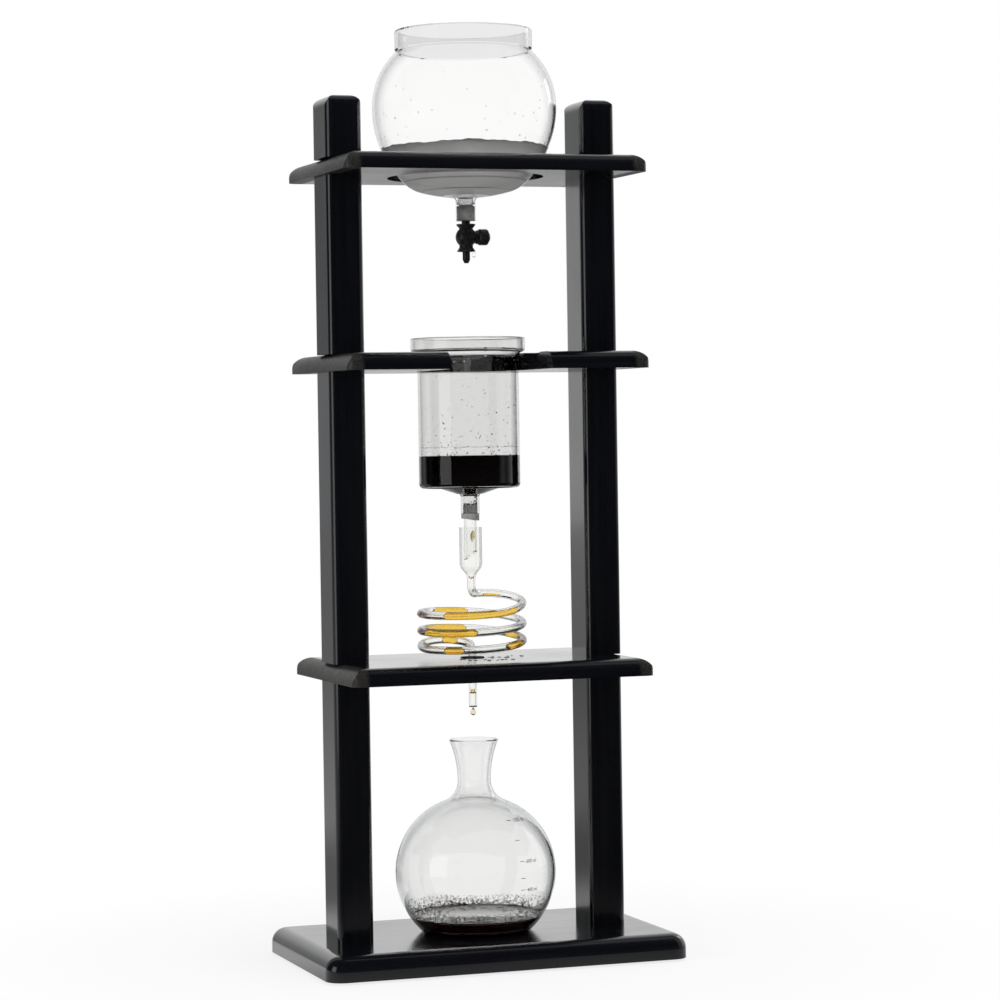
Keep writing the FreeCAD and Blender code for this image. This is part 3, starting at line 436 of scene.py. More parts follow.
COLUMN_OVERHANG = 5.5 * MM                 # of the rim, outside the wall
COLUMN_WALL = 2.0 * MM
COLUMN_R = (column_high.x - column_low.x) / 2 - COLUMN_OVERHANG - COLUMN_WALL    # inside
COLUMN_HEEL_R = 2.0 * MM                   # inside
COLUMN_LEDGE = column_high.z - 9.6 * MM    # where the wall has flared out to the rim
COLUMN_DISH = 4.8 * MM                     # the floor dips this far towards the stem
COLUMN_DISH_R = 25 * MM
COLUMN_DISH_TIP_R = 10.5 * MM
COLUMN_BORE_R = 6.0 * MM
GASKET_WIDTH = 5.1 * MM                    # with the gap inside it
BED_LEVEL = 411.0 * MM
TIDE_LEVEL = 418.7 * MM                    # where the coffee stood before

DRIP_TUBE_BORE_R = (tube_high.x - tube_low.x) / 2 - 1.2 * MM

FLASK_MIDDLE = flask_low.z + 48.5 * MM     # the widest line
FLASK_R = (flask_high.x - flask_low.x) / 2
FLASK_UPPER_R = 61.5 * MM                  # of its profile, above the widest line
FLASK_HEEL_R = 8.0 * MM
FLASK_WALL = 1.8 * MM
FLASK_FLOOR = flask_low.z + FLASK_WALL
COFFEE_LEVEL = 35.6 * MM
FLOATING = COFFEE_LEVEL - 0.7 * MM         # the middle of what floats on the coffee


# ---- Who wears what

BASE_WOOD = lacquered_wood("black_lacquer_base", 0)
SHELF_WOOD = lacquered_wood("black_lacquer_shelves", 0, end_grain=END_GRAIN)
# The second colour of each glass and the last of each drop material is its edge colour, painted shade of its
# dark rim.
GLOBE_GLASS = clear_glass("globe_glass_clear", (0.985, 0.983, 0.980), (0.36, 0.37, 0.39), 1.16,
                          upper=(GLOBE_GROOVE, (0.835, 0.835, 0.838)))
# The column's grey tint is painted shade, for the dark room in front that the glass mirrors.
COLUMN_GLASS = clear_glass("column_glass_shade_grey", (0.842, 0.840, 0.834), (0.22, 0.23, 0.24), 1.45)
FLASK_GLASS = clear_glass("flask_glass_clear", (0.936, 0.934, 0.932), (0.20, 0.24, 0.225), 1.45, start=0.45)
TUBE_GLASS = clear_glass("tube_glass_clear", (0.966, 0.967, 0.954), (0.10, 0.11, 0.115), 1.47,
                         start=0.4, end=0.85)
PLASTIC = black_plastic()
RUBBER = black_rubber()
STEEL = turned_metal("bright_steel", (0.42, 0.43, 0.44), (0.62, 0.63, 0.64))
BRASS = turned_metal("turned_brass", (0.45, 0.32, 0.13), (0.66, 0.50, 0.24))
STOPPER = silicone("frosted_silicone", (0.19, 0.188, 0.178), (0.31, 0.305, 0.29), 0.1)
PALE_STOPPER = silicone("pale_frosted_silicone", (0.32, 0.313, 0.30), (0.50, 0.49, 0.47), 0.1)
STAINED_SILICONE = silicone("coffee_stained_silicone", (0.006, 0.004, 0.003), (0.02, 0.012, 0.008), 0.0)
WATER = clouded_water()
DROP_WATER = fine_water("drop_water", (0.97, 0.97, 0.97), 0.3)
FROTH = fine_water("froth_bubbles", (0.92, 0.92, 0.90), 0.22)
GROUNDS = wet_grounds("wet_coffee_grounds", 0.4)
COFFEE_BED = wet_grounds("coffee_bed_in_glass", 0.02)
# The last colour of each coffee is its edge colour, partly painted shade of its dark rim and partly the
# longer path through it.
AMBER = brewed_coffee("amber_coffee", (1.0, 0.69, 0.12), (0.97, 0.60, 0.08), 1.0, (0.34, 0.15, 0.02))
PALE_AMBER = brewed_coffee("pale_amber_coffee", (0.995, 0.90, 0.62), (0.99, 0.86, 0.54), 1.0,
                           (0.6, 0.38, 0.12))
BROWN = brewed_coffee("brown_coffee", (0.66, 0.25, 0.10), (0.42, 0.13, 0.055), 1.0, (0.16, 0.05, 0.03))
RESIDUE = brewed_coffee("coffee_residue", (0.10, 0.075, 0.06), (0.05, 0.035, 0.03), 0.5, (0.02, 0.015, 0.012))
DRIPPING = brewed_coffee("dripping_coffee", (0.86, 0.76, 0.56), (0.80, 0.68, 0.46), 1.0, (0.16, 0.11, 0.05))
DARK_COFFEE = brewed_coffee("dark_coffee", (0.036, 0.003, 0.004), (0.016, 0.001, 0.002), 0.1,
                            (0.004, 0.001, 0.001), coat=1.0)
PRINT = print_grey()

SLOT_MATERIALS = {
    "lacquered_wood": SHELF_WOOD,
    "clear_glass": TUBE_GLASS,
    "silicone": STOPPER,
    "black_rubber": RUBBER,
    "black_plastic": PLASTIC,
    "steel": STEEL,
    "brass": BRASS,
}
NODE_MATERIALS = {
    "base_board": BASE_WOOD,
    "globe_glass": GLOBE_GLASS,
    "column_glass": COLUMN_GLASS,
    "flask_glass": FLASK_GLASS,
    "filter_gasket": STAINED_SILICONE,
    "tube_stopper": PALE_STOPPER,
}
POST_TURNS = {             # degrees by which each section seems to stand turned on its studs
    "left_post_cap": 2.0,
    "left_post_upper": 3.0,
    "left_post_middle": 1.2,
    "left_post_lower": 0.6,
    "right_post_cap": -1.5,
    "right_post_upper": -3.8,
    "right_post_middle": -4.3,
    "right_post_lower": 3.0,
}


def dress_nodes():
    """Each CAD node gets the material of its slot or one of its own; a post section, upright grain."""
    for part in frame["record"]["subparts"]:
        node = part["node"]
        material = NODE_MATERIALS.get(node, SLOT_MATERIALS[part["material_slot"]])
        if node in POST_TURNS:
            material = lacquered_wood(node + "_lacquer", 2, POST_TURNS[node])
        mesh = frame["nodes"][node].data
        mesh.materials.clear()
        mesh.materials.append(material)


# ---- Contents of the globe

def globe_inside(z):
    """Inner radius of the globe at this height."""
    radius = GLOBE_LOWER_R if z < GLOBE_MIDDLE else GLOBE_UPPER_R
    return globe_high.x - radius + math.sqrt((radius - GLOBE_WALL) ** 2 - (GLOBE_MIDDLE - z) ** 2)


def globe_floor_at(radius):
    """Height of the dished floor's inside at this distance from the axis."""
    return GLOBE_FLOOR + GLOBE_DISH_R - math.sqrt((GLOBE_DISH_R - GLOBE_WALL) ** 2 - radius ** 2)


RIPPLES = ((3, 0.4, 0.55), (7, 1.9, 0.40), (17, 0.7, 0.30), (41, 2.3, 0.22))    # waves round, phase, mm


def ripple(angle):
    """How far the water's edge climbs here, as ice and drops leave it uneven."""
    return sum(height * MM * math.sin(waves * angle + phase) for waves, phase, height in RIPPLES)


def globe_water():
    """Water from the dished floor up to its level.

    The wall's profile is a dish, a heel tangent to both its neighbours, and the lower wall. The water's
    is the same three arcs about the same centres.
    """
    lower = (globe_high.x - GLOBE_LOWER_R, GLOBE_MIDDLE)
    dish = (0, GLOBE_FLOOR + GLOBE_DISH_R)
    lower_r = GLOBE_LOWER_R - GLOBE_WALL + WETTING
    dish_r = GLOBE_DISH_R - GLOBE_WALL + WETTING
    heel_r = GLOBE_HEEL_R - GLOBE_WALL + WETTING
    gap = math.dist(lower, dish)
    from_lower = GLOBE_LOWER_R - GLOBE_HEEL_R
    from_dish = GLOBE_DISH_R - GLOBE_HEEL_R
    along = (gap ** 2 + from_lower ** 2 - from_dish ** 2) / (2 * gap)
    aside = math.sqrt(from_lower ** 2 - along ** 2)
    ur = (dish[0] - lower[0]) / gap
    uz = (dish[1] - lower[1]) / gap
    heel = (lower[0] + ur * along + uz * aside, lower[1] + uz * along - ur * aside)
    dish_end = math.degrees(math.atan2(heel[1] - dish[1], heel[0] - dish[0]))
    lower_start = math.degrees(math.atan2(heel[1] - lower[1], heel[0] - lower[0]))
    water_end = -math.degrees(math.asin((GLOBE_MIDDLE - WATER_LEVEL) / lower_r))
    profile = [(0, dish[1] - dish_r)]
    profile += arc(dish, dish_r, -89, dish_end, 24)
    profile += arc(heel, heel_r, dish_end, lower_start, 12)
    profile += arc(lower, lower_r, lower_start, water_end, 24)
    edge_r = profile[-1][0]
    profile += [(edge_r - 1.2 * MM, WATER_LEVEL - 0.6 * MM), (edge_r - 4 * MM, WATER_LEVEL - WATER_DIP)]
    profile += [(0, WATER_LEVEL - WATER_DIP)]
    piece = lathe("globe_water", profile, WATER, 240)
    for vertex in piece.data.vertices:
        radius = math.hypot(vertex.co.x, vertex.co.y)
        if vertex.co.z > WATER_LEVEL - 1.0 * MM and radius > edge_r - 2 * MM:
            climb = ripple(math.atan2(vertex.co.y, vertex.co.x))
            share = (globe_inside(vertex.co.z + climb) + WETTING) / edge_r
            vertex.co = Vector((vertex.co.x * share, vertex.co.y * share, vertex.co.z + climb))
    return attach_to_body(piece, "globe")


def stem_water():
    """Clear water between the stopper and the globe's floor."""
    radius = GLOBE_STEM_BORE_R + WETTING
    top = globe_floor_at(radius) - SKIN
    profile = [(0, stopper_top + SKIN), (radius, stopper_top + SKIN), (radius, top - 0.8 * MM)]
    profile += [(radius - 0.3 * MM, top), (0, top)]
    piece = lathe("stem_water", profile, DROP_WATER, 64)
    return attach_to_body(piece, "globe")


STOPPER_CHAMFER = 1.0 * MM


def stopper_contact():
    """The ring of silicone that the stopper presses against the stem's bore."""
    outer = GLOBE_STEM_BORE_R + WETTING
    low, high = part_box("valve_stopper")
    inner = high.x - WETTING
    top = high.z - STOPPER_CHAMFER
    profile = [(inner, low.z), (outer, low.z), (outer, top), (inner, top)]
    piece = lathe("stopper_contact", profile, STOPPER, 64)
    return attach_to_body(piece, "globe")


GLOBE_DROPS = 80
GLOBE_SPLASH = 60          # how far up the wall they reach, mm


def globe_drops():
    """Drops on the inside of the wall, most of them near the water."""
    rng = random.Random(11)
    places = []
    for _ in range(GLOBE_DROPS):
        height = WATER_LEVEL + 3 * MM + (rng.random() ** 1.6) * GLOBE_SPLASH * MM
        out = outwards(rng.uniform(0, 360))
        size = rng.uniform(0.3, 1.0) * MM
        point = out * (globe_inside(height) - 0.2 * size) + UP * height
        slope = UP * ((height - GLOBE_MIDDLE) / (GLOBE_UPPER_R - GLOBE_WALL))
        places.append((point, (out + slope).normalized(), size, 0.45))
    piece = beads("globe_drops", places, DROP_WATER)
    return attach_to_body(piece, "globe")


def hanging_drop(name, place, radius, length, material, body):
    """A drop that hangs from a point, fullest below its middle."""
    steps = 12
    profile = [(0, 0)]
    for i in range(1, steps):
        share = i / steps
        width = radius * math.sin(math.pi * share ** 1.5) ** 0.8
        profile.append((max(width, 0.1 * radius), -length * share))
    profile.append((0, -length))
    piece = lathe(name, profile, material, 32)
    piece.location = place
    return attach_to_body(piece, body)


# ---- Contents of the column

def coffee_bed():
    """Wet coffee above the filter disc and in the ring around it."""
    outer = COLUMN_R + WETTING
    heel = (COLUMN_R - COLUMN_HEEL_R, gasket_low.z + COLUMN_HEEL_R)
    disc_r = disc_high.x + SKIN
    gasket_r = gasket_high.x + SKIN
    profile = [(0, disc_high.z + SKIN), (disc_r, disc_high.z + SKIN), (disc_r, disc_low.z - SKIN)]
    profile += [(gasket_r + 0.5 * MM, disc_low.z - SKIN)]
    profile += arc(heel, COLUMN_HEEL_R + WETTING, -60, 0, 6)
    profile += [(outer, BED_LEVEL + 0.6 * MM), (outer - 0.8 * MM, BED_LEVEL + 0.1 * MM)]
    profile += [(outer - 6 * MM, BED_LEVEL - 0.5 * MM), (0, BED_LEVEL)]
    piece = lathe("coffee_bed", profile, COFFEE_BED, 160)
    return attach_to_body(piece, "column")


def coffee_under_disc():
    """Coffee that has passed the disc, in the dished floor, and a film of it under the gasket."""
    floor = gasket_low.z - WETTING
    film = gasket_low.z - 0.01 * MM
    film_r = COLUMN_R - COLUMN_HEEL_R
    gasket_bore = gasket_high.x - GASKET_WIDTH
    profile = [(0, floor - COLUMN_DISH), (COLUMN_DISH_TIP_R, floor - COLUMN_DISH), (COLUMN_DISH_R, floor)]
    profile += [(film_r, floor), (film_r, film), (gasket_bore, film)]
    profile += [(gasket_bore, disc_low.z - SKIN), (0, disc_low.z - SKIN)]
    piece = lathe("coffee_under_disc", profile, COFFEE_BED, 128)
    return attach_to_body(piece, "column")


SPECKS = 560
TIDE_SPECKS = 300          # those of them that lie along the old level
SPECK_REACH = 48           # how far above the bed the others reach, mm


def column_specks():
    """Fine grounds that stick to the wall above the bed, thickest at the old level."""
    rng = random.Random(5)
    places = []
    for i in range(SPECKS):
        if i < TIDE_SPECKS:
            height = TIDE_LEVEL + rng.gauss(0, 0.25) * MM
            size = rng.uniform(0.14, 0.28) * MM
        else:
            height = BED_LEVEL + rng.random() ** 2.2 * SPECK_REACH * MM
            size = 0.24 * MM + rng.random() ** 3 * 0.6 * MM
        out = outwards(rng.uniform(0, 360))
        places.append((out * (COLUMN_R - 0.3 * size) + UP * height, out, size, 0.4))
    piece = beads("column_specks", places, GROUNDS, 1)
    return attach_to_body(piece, "column")


CLUMPS = ((-89, 1.5), (-87, 1.0), (-66, 1.4), (-63, 0.9))    # direction in degrees, radius in mm


def rim_clumps():
    """Two wet clumps of grounds on the ledge where the column flares."""
    places = []
    for degrees, size in CLUMPS:
        point = outwards(degrees) * (COLUMN_R + 2.2 * MM) + UP * COLUMN_LEDGE
        places.append((point, UP, size * MM, 0.7))
    piece = beads("rim_clumps", places, GROUNDS)
    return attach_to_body(piece, "column")


COLUMN_DROPS = 40


def column_drops():
    """Splashes on the upper half of the wall."""
    rng = random.Random(8)
    places = []
    for _ in range(COLUMN_DROPS):
        out = outwards(rng.uniform(-200, 20))
        height = column_high.z - rng.uniform(12, 60) * MM
        size = rng.uniform(0.3, 0.8) * MM
        places.append((out * (COLUMN_R - 0.2 * size) + UP * height, out, size, 0.5))
    piece = beads("column_drops", places, DROP_WATER)
    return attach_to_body(piece, "column")


STEM_GROUNDS = 90
WALL_GROUNDS = 50          # those of them that stick to one side of the bore


def stem_grounds():
    """Grounds caught in the column's stem, on one side and on the stopper."""
    rng = random.Random(14)
    places = []
    for i in range(STEM_GROUNDS):
        if i < WALL_GROUNDS:
            height = tube_stopper_top + rng.random() ** 1.5 * 12 * MM
            out = outwards(rng.gauss(-50, 22))
            reach = COLUMN_BORE_R - 0.5 * MM
        else:
            height = tube_stopper_top + rng.uniform(0.1, 0.9) * MM
            out = outwards(rng.uniform(0, 360))
            reach = rng.uniform(4.4, 5.5) * MM
        places.append((out * reach + UP * height, out, rng.uniform(0.35, 0.8) * MM, 0.6))
    piece = beads("stem_grounds", places, GROUNDS, 1)
    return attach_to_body(piece, "column")


SMEAR = (1.2, 1.7, 2.0, 1.9, 1.6, 1.2, 0.8)    # radii of the smear's drops from the top down, mm
SMEAR_TOP = 23             # the first one above the tube's slanted end, mm
END_DROPS = ((2.2, -165, 1.0), (3.6, -128, 0.8), (5.2, -70, 0.7))    # height in mm, degrees, radius


def drip_tube_coffee():
    """An amber smear in the drip tube and drops along its slanted end."""
    places = []
    for step, radius in enumerate(SMEAR):
        out = outwards(-78 - 2 * step)
        size = radius * MM
        height = tube_low.z + (SMEAR_TOP - 1.3 * step) * MM
        places.append((out * (DRIP_TUBE_BORE_R - 0.2 * size) + UP * height, out, size, 0.3))
    for height, degrees, size in END_DROPS:
        out = outwards(degrees)
        point = out * (DRIP_TUBE_BORE_R - 0.3 * size * MM) + UP * (tube_low.z + height * MM)
        places.append((point, out, size * MM, 0.5))
    piece = beads("drip_tube_coffee", places, PALE_AMBER)
    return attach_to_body(piece, "column")


# ---- Coffee in the coil: the bore's centre line, by the angle turned since its start

COIL_R = 41.6 * MM
COIL_PITCH = 14.0 * MM
COIL_ANGLE = 900.0
LEAD_ANGLE = 90.0          # the lead-in and the tail fall as much as turns by this angle
LEAD_HOLD = LEAD_ANGLE / 3
EXIT_ANGLE = -19.0         # where the lead-in joins the first turn, in degrees from +X
BEND_R = 7.5 * MM
COIL_LEAN = 3.0 * MM       # the turns stand this much higher at the back
LEAD_RISE = 5.5 * MM
TAIL_RISE = 6.0 * MM
LAST_TURN = shelf_top + 8.1 * MM
LEAD_R = (COIL_R ** 2 - BEND_R ** 2) / (2 * COIL_R)
LEAD_SWEEP = 90 + math.degrees(math.atan2(LEAD_R, BEND_R))
COIL_END = LEAD_ANGLE + COIL_ANGLE
TUBE_BORE_R = 2.1 * MM


def eased(x):
    """From 0 to 1 with level ends, as x goes from 0 to 1."""
    x = min(max(x, 0.0), 1.0)
    return x * x * (3 - 2 * x)


def coil_point(turned_by):
    """A point of the coil's centre line."""
    if turned_by < LEAD_ANGLE:
        left = LEAD_SWEEP * (1 - turned_by / LEAD_ANGLE)
        point = outwards(EXIT_ANGLE) * (COIL_R - LEAD_R) + outwards(EXIT_ANGLE + left) * LEAD_R
    elif turned_by > COIL_END:
        done = LEAD_SWEEP * (turned_by - COIL_END) / LEAD_ANGLE
        last = EXIT_ANGLE - COIL_ANGLE
        point = outwards(last) * (COIL_R - LEAD_R) + outwards(last - done) * LEAD_R
    else:
        point = outwards(EXIT_ANGLE + LEAD_ANGLE - turned_by) * COIL_R
    point.z = LAST_TURN + COIL_PITCH * (COIL_END - turned_by) / 360
    point.z += COIL_LEAN * point.y / COIL_R
    point.z += LEAD_RISE * (1 - eased((turned_by - LEAD_HOLD) / (LEAD_ANGLE + LEAD_HOLD)))
    point.z += TAIL_RISE * eased((turned_by - COIL_END + LEAD_HOLD) / LEAD_ANGLE)
    return point


# Each run: label, material, distance below the centre line, radius, and stretches in degrees turned
PLUG_R = TUBE_BORE_R + WETTING
FILM_R = 0.85 * MM
LINE_R = 0.42 * MM
COIL_RUNS = (
    ("amber", AMBER, 0, PLUG_R,
     ((120, 212), (309, 355), (533, 602), (648, 713), (762, 795), (826, 858), (908, 932), (1035, 1056))),
    ("brown", BROWN, 0, PLUG_R, ((244, 280), (605, 645), (797, 823))),
    ("film", AMBER, TUBE_BORE_R - FILM_R, FILM_R, ((17, 43),)),
    ("line", RESIDUE, TUBE_BORE_R - LINE_R, LINE_R,
     ((44, 60), (213, 242), (470, 532), (860, 906), (934, 980), (1058, 1074))),
)


def coil_segments():
    """Plugs of coffee between the air in the coil's bore, and what runs along its bottom."""
    for label, material, drop, radius, stretches in COIL_RUNS:
        for index, (start, end) in enumerate(stretches):
            steps = max(6, round((end - start) / 3))
            path = [coil_point(start + (end - start) * i / steps) - UP * drop for i in range(steps + 1)]
            piece = swept(f"coil_{label}_{index}", path, radius, material)
            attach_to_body(piece, "coil")


FUNNEL_FOOT = coil_high.z - 43.0 * MM    # where the funnel meets the tube
FUNNEL_DROPS = ((-160, 2.2, 0.8), (-120, 1.0, 0.5), (-70, 1.6, 0.7), (-40, 2.6, 0.6), (60, 1.4, 0.7))


def funnel_drops():
    """Coffee left where the funnel narrows, by direction in degrees, height and radius in mm."""
    places = []
    for degrees, height, size in FUNNEL_DROPS:
        out = outwards(degrees)
        point = out * (TUBE_BORE_R - 0.2 * MM) + UP * (FUNNEL_FOOT + height * MM)
        places.append((point, out, size * MM, 0.5))
    piece = beads("funnel_drops", places, BROWN)
    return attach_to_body(piece, "coil")


OUTLET_THROAT = 13.0 * MM  # above the outlet's end


def outlet_coffee():
    """Coffee held by the throat and by the end of the outlet, and the drop under it."""
    throat = coil_low.z + OUTLET_THROAT
    for name, low, high, share, material in (
        ("outlet_throat_coffee", throat - 1.0 * MM, throat + 1.4 * MM, 0.62, AMBER),
        ("outlet_end_coffee", coil_low.z + 0.1 * MM, coil_low.z + 1.0 * MM, 1.0, RESIDUE),
    ):
        profile = [(0, low), (PLUG_R * share, low), (PLUG_R * share, high), (0, high - 0.3 * MM)]
        piece = lathe(name, profile, material, 32)
        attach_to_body(piece, "coil")
    end = Vector((0, 0, coil_low.z - SKIN))
    hanging_drop("outlet_drop", end, 2.5 * MM, 7.0 * MM, DRIPPING, "coil")


# ---- Contents and print of the flask

def flask_inside(z):
    """Inner radius of the flask's body below its widest line."""
    return math.sqrt((FLASK_R - FLASK_WALL) ** 2 - (FLASK_MIDDLE - z) ** 2)


def flask_coffee():
    """Coffee from the flask's floor up to its level, which curves up to the wall."""
    heel_z = flask_low.z + FLASK_HEEL_R
    heel = (math.sqrt((FLASK_R - FLASK_HEEL_R) ** 2 - (FLASK_MIDDLE - heel_z) ** 2), heel_z)
    wall_r = FLASK_R - FLASK_WALL + WETTING
    wall_angle = -math.degrees(math.asin((FLASK_MIDDLE - heel_z) / (FLASK_R - FLASK_HEEL_R)))
    top_angle = -math.degrees(math.asin((FLASK_MIDDLE - COFFEE_LEVEL) / wall_r))
    profile = [(0, FLASK_FLOOR - WETTING)]
    profile += arc(heel, FLASK_HEEL_R - FLASK_WALL + WETTING, -90, wall_angle, 10)
    profile += arc((0, FLASK_MIDDLE), wall_r, wall_angle, top_angle, 6)
    edge_r = profile[-1][0]
    profile += [(edge_r - 1.5 * MM, COFFEE_LEVEL - 0.7 * MM), (0, COFFEE_LEVEL - 0.9 * MM)]
    piece = lathe("flask_coffee", profile, DARK_COFFEE, 160)
    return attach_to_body(piece, "flask")


FROTH_SIDE = 71.0          # the froth is thickest here, in degrees from +X
WALL_FROTH = 1000
FLOATING_FROTH = 300
FROTH_RAFTS = ((-124, 6, 26), (-76, 13, 44))    # middle and spread in degrees, bubbles


def flask_froth():
    """Bubbles that climb the wall, float along the coffee's edge, and lie in two rafts in front."""
    rng = random.Random(21)
    places = []
    for _ in range(WALL_FROTH):
        degrees = rng.gauss(FROTH_SIDE, 62)
        away = abs((degrees - FROTH_SIDE + 180) % 360 - 180) / 180
        height = COFFEE_LEVEL + rng.random() ** 1.7 * (6.5 + 9 * away) * MM
        size = rng.uniform(0.3, 1.05) * MM * (1.2 - (height - COFFEE_LEVEL) / (22 * MM))
        radius = flask_inside(height) - 0.75 * size
        out = outwards(degrees)
        normal = (out * radius + UP * (height - FLASK_MIDDLE)).normalized()
        places.append((out * radius + UP * height, normal, size, 0.7))
    for _ in range(FLOATING_FROTH):
        out = outwards(rng.gauss(FROTH_SIDE, 55))
        size = rng.uniform(0.4, 1.7) * MM
        radius = flask_inside(COFFEE_LEVEL) - rng.random() ** 2 * 26 * MM - 1.5 * size
        places.append((out * radius + UP * FLOATING, UP, size, 0.6))
    for middle, spread, count in FROTH_RAFTS:
        for _ in range(count):
            out = outwards(rng.gauss(middle, spread))
            size = rng.uniform(0.35, 0.95) * MM
            radius = flask_inside(COFFEE_LEVEL) - rng.uniform(0.8, 3.0) * MM
            places.append((out * radius + UP * (COFFEE_LEVEL - 0.5 * MM), UP, size, 0.7))
    piece = beads("flask_froth", places, FROTH, 1)
    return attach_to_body(piece, "flask")


BUBBLES = ((-115, 43, 5.6), (-95, 44, 4.6), (-60, 47, 3.0), (-142, 46, 2.6))    # degrees, reach, radius


def flask_bubbles():
    """Large bubbles that float near the coffee's edge; the dark coffee shows through their domes."""
    places = []
    for degrees, reach, size in BUBBLES:
        point = outwards(degrees) * reach * MM + UP * FLOATING
        places.append((point, UP, size * MM, 0.3))
    piece = beads("flask_bubbles", places, FROTH, 3)
    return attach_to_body(piece, "flask")


MARK_ANGLE = -74.5         # where the graduations start, round the flask from +X
MARKS = (                  # height above the flask's widest line in mm, words
    (45.4, "1000 ml"),
    (30.3, ""),
    (13.9, "600 ml"),
    (0.4, ""),
    (-9.1, "400 ml"),
)
MARK_HEIGHT = 3.0 * MM
MARK_BOLDNESS = 0.02 * MM
MARK_SLANT = 0.25
TICK_LENGTH = 4.4 * MM
TICK_WIDTH = 0.45 * MM
WORDS_GAP = 1.5 * MM       # between a tick and its words
PRINT_LIFT = 0.05 * MM     # between the glass and the print
FONT_SHARE = 1.35          # the font's size is this many times the height of its numbers


def flask_outside(height):
    """Outer radius of the flask's body at this height above its widest line."""
    if height < 0:
        return math.sqrt(FLASK_R ** 2 - height ** 2)
    return FLASK_R - FLASK_UPPER_R + math.sqrt(FLASK_UPPER_R ** 2 - height ** 2)


def wrap_on_flask(bm, height):
    """Bend flat print, drawn from the mark's start along X, round the flask."""
    for vertex in bm.verts:
        z = height + vertex.co.y
        radius = flask_outside(z) + PRINT_LIFT
        angle = math.radians(MARK_ANGLE) + vertex.co.x / flask_outside(height)
        vertex.co = Vector((radius * math.cos(angle), radius * math.sin(angle), FLASK_MIDDLE + z))


def flat_words(words):
    """The mesh of a line of print, in the XY plane."""
    curve = bpy.data.curves.new("words", "FONT")
    curve.body = words
    curve.size = MARK_HEIGHT * FONT_SHARE
    curve.offset = MARK_BOLDNESS
    curve.shear = MARK_SLANT
    holder = bpy.data.objects.new("words", curve)
    bpy.context.scene.collection.objects.link(holder)
    bpy.context.view_layer.update()
    flat = bpy.data.meshes.new_from_object(holder.evaluated_get(bpy.context.evaluated_depsgraph_get()))
    bpy.data.objects.remove(holder)
    return flat


def flask_print():
    """Ticks and volumes of the graduation."""
    whole = bmesh.new()
    for height, words in MARKS:
        mark = bmesh.new()
        bmesh.ops.create_grid(mark, x_segments=6, y_segments=1, size=0.5)
        for vertex in mark.verts:
            vertex.co.x = (vertex.co.x + 0.5) * TICK_LENGTH
            vertex.co.y *= TICK_WIDTH
        if words:
            flat = flat_words(words)
            for vertex in flat.vertices:
                vertex.co.x += TICK_LENGTH + WORDS_GAP
                vertex.co.y -= MARK_HEIGHT / 2
            mark.from_mesh(flat)
        wrap_on_flask(mark, height * MM)
        mesh = bpy.data.meshes.new("mark")
        mark.to_mesh(mesh)
        mark.free()
        whole.from_mesh(mesh)
    mesh = bpy.data.meshes.new("flask_graduation")
    whole.to_mesh(mesh)
    whole.free()
    piece = add_object("flask_graduation", mesh, PRINT, smooth=False)
    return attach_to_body(piece, "flask")


# ---- Small wet things on the stand and the valve

SHELF_DROPS = 34


def shelf_drops():
    """Drops on the lower shelf round the coil's outlet."""
    rng = random.Random(3)
    places = []
    for _ in range(SHELF_DROPS):
        reach = rng.uniform(13, 44) * MM
        point = outwards(rng.uniform(-137, 17)) * reach + UP * shelf_top
        places.append((point, UP, rng.uniform(0.5, 1.9) * MM, 0.3))
    piece = beads("shelf_drops", places, DROP_WATER)
    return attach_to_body(piece, "frame")


def valve_drop():
    """The drop that hangs at the valve's skirt."""
    place = Vector((6.0 * MM, -2.0 * MM, nozzle_tip + 10.0 * MM))
    hanging_drop("valve_drop", place, 1.9 * MM, 5.5 * MM, DROP_WATER, "globe")


# ---- Stage, light and camera

WHITE = (1, 1, 1, 1)


def ray_is(owner, *kinds):
    """1 for rays of any of these kinds."""
    path = add_node(owner, "LightPath")
    total = path.outputs[kinds[0]]
    for kind in kinds[1:]:
        total = maths(owner, "MAXIMUM", total, path.outputs[kind])
    return total


FLOOR_R = 12
MIRRORED_REACH = 3.0       # the mirrored floor changes its tone up to here
MIRRORED_TONES = ((0.09, 1), (0.14, 0.3), (0.24, 0.3), (0.35, 0.6), (1.0, 0.36))    # share of it, grey


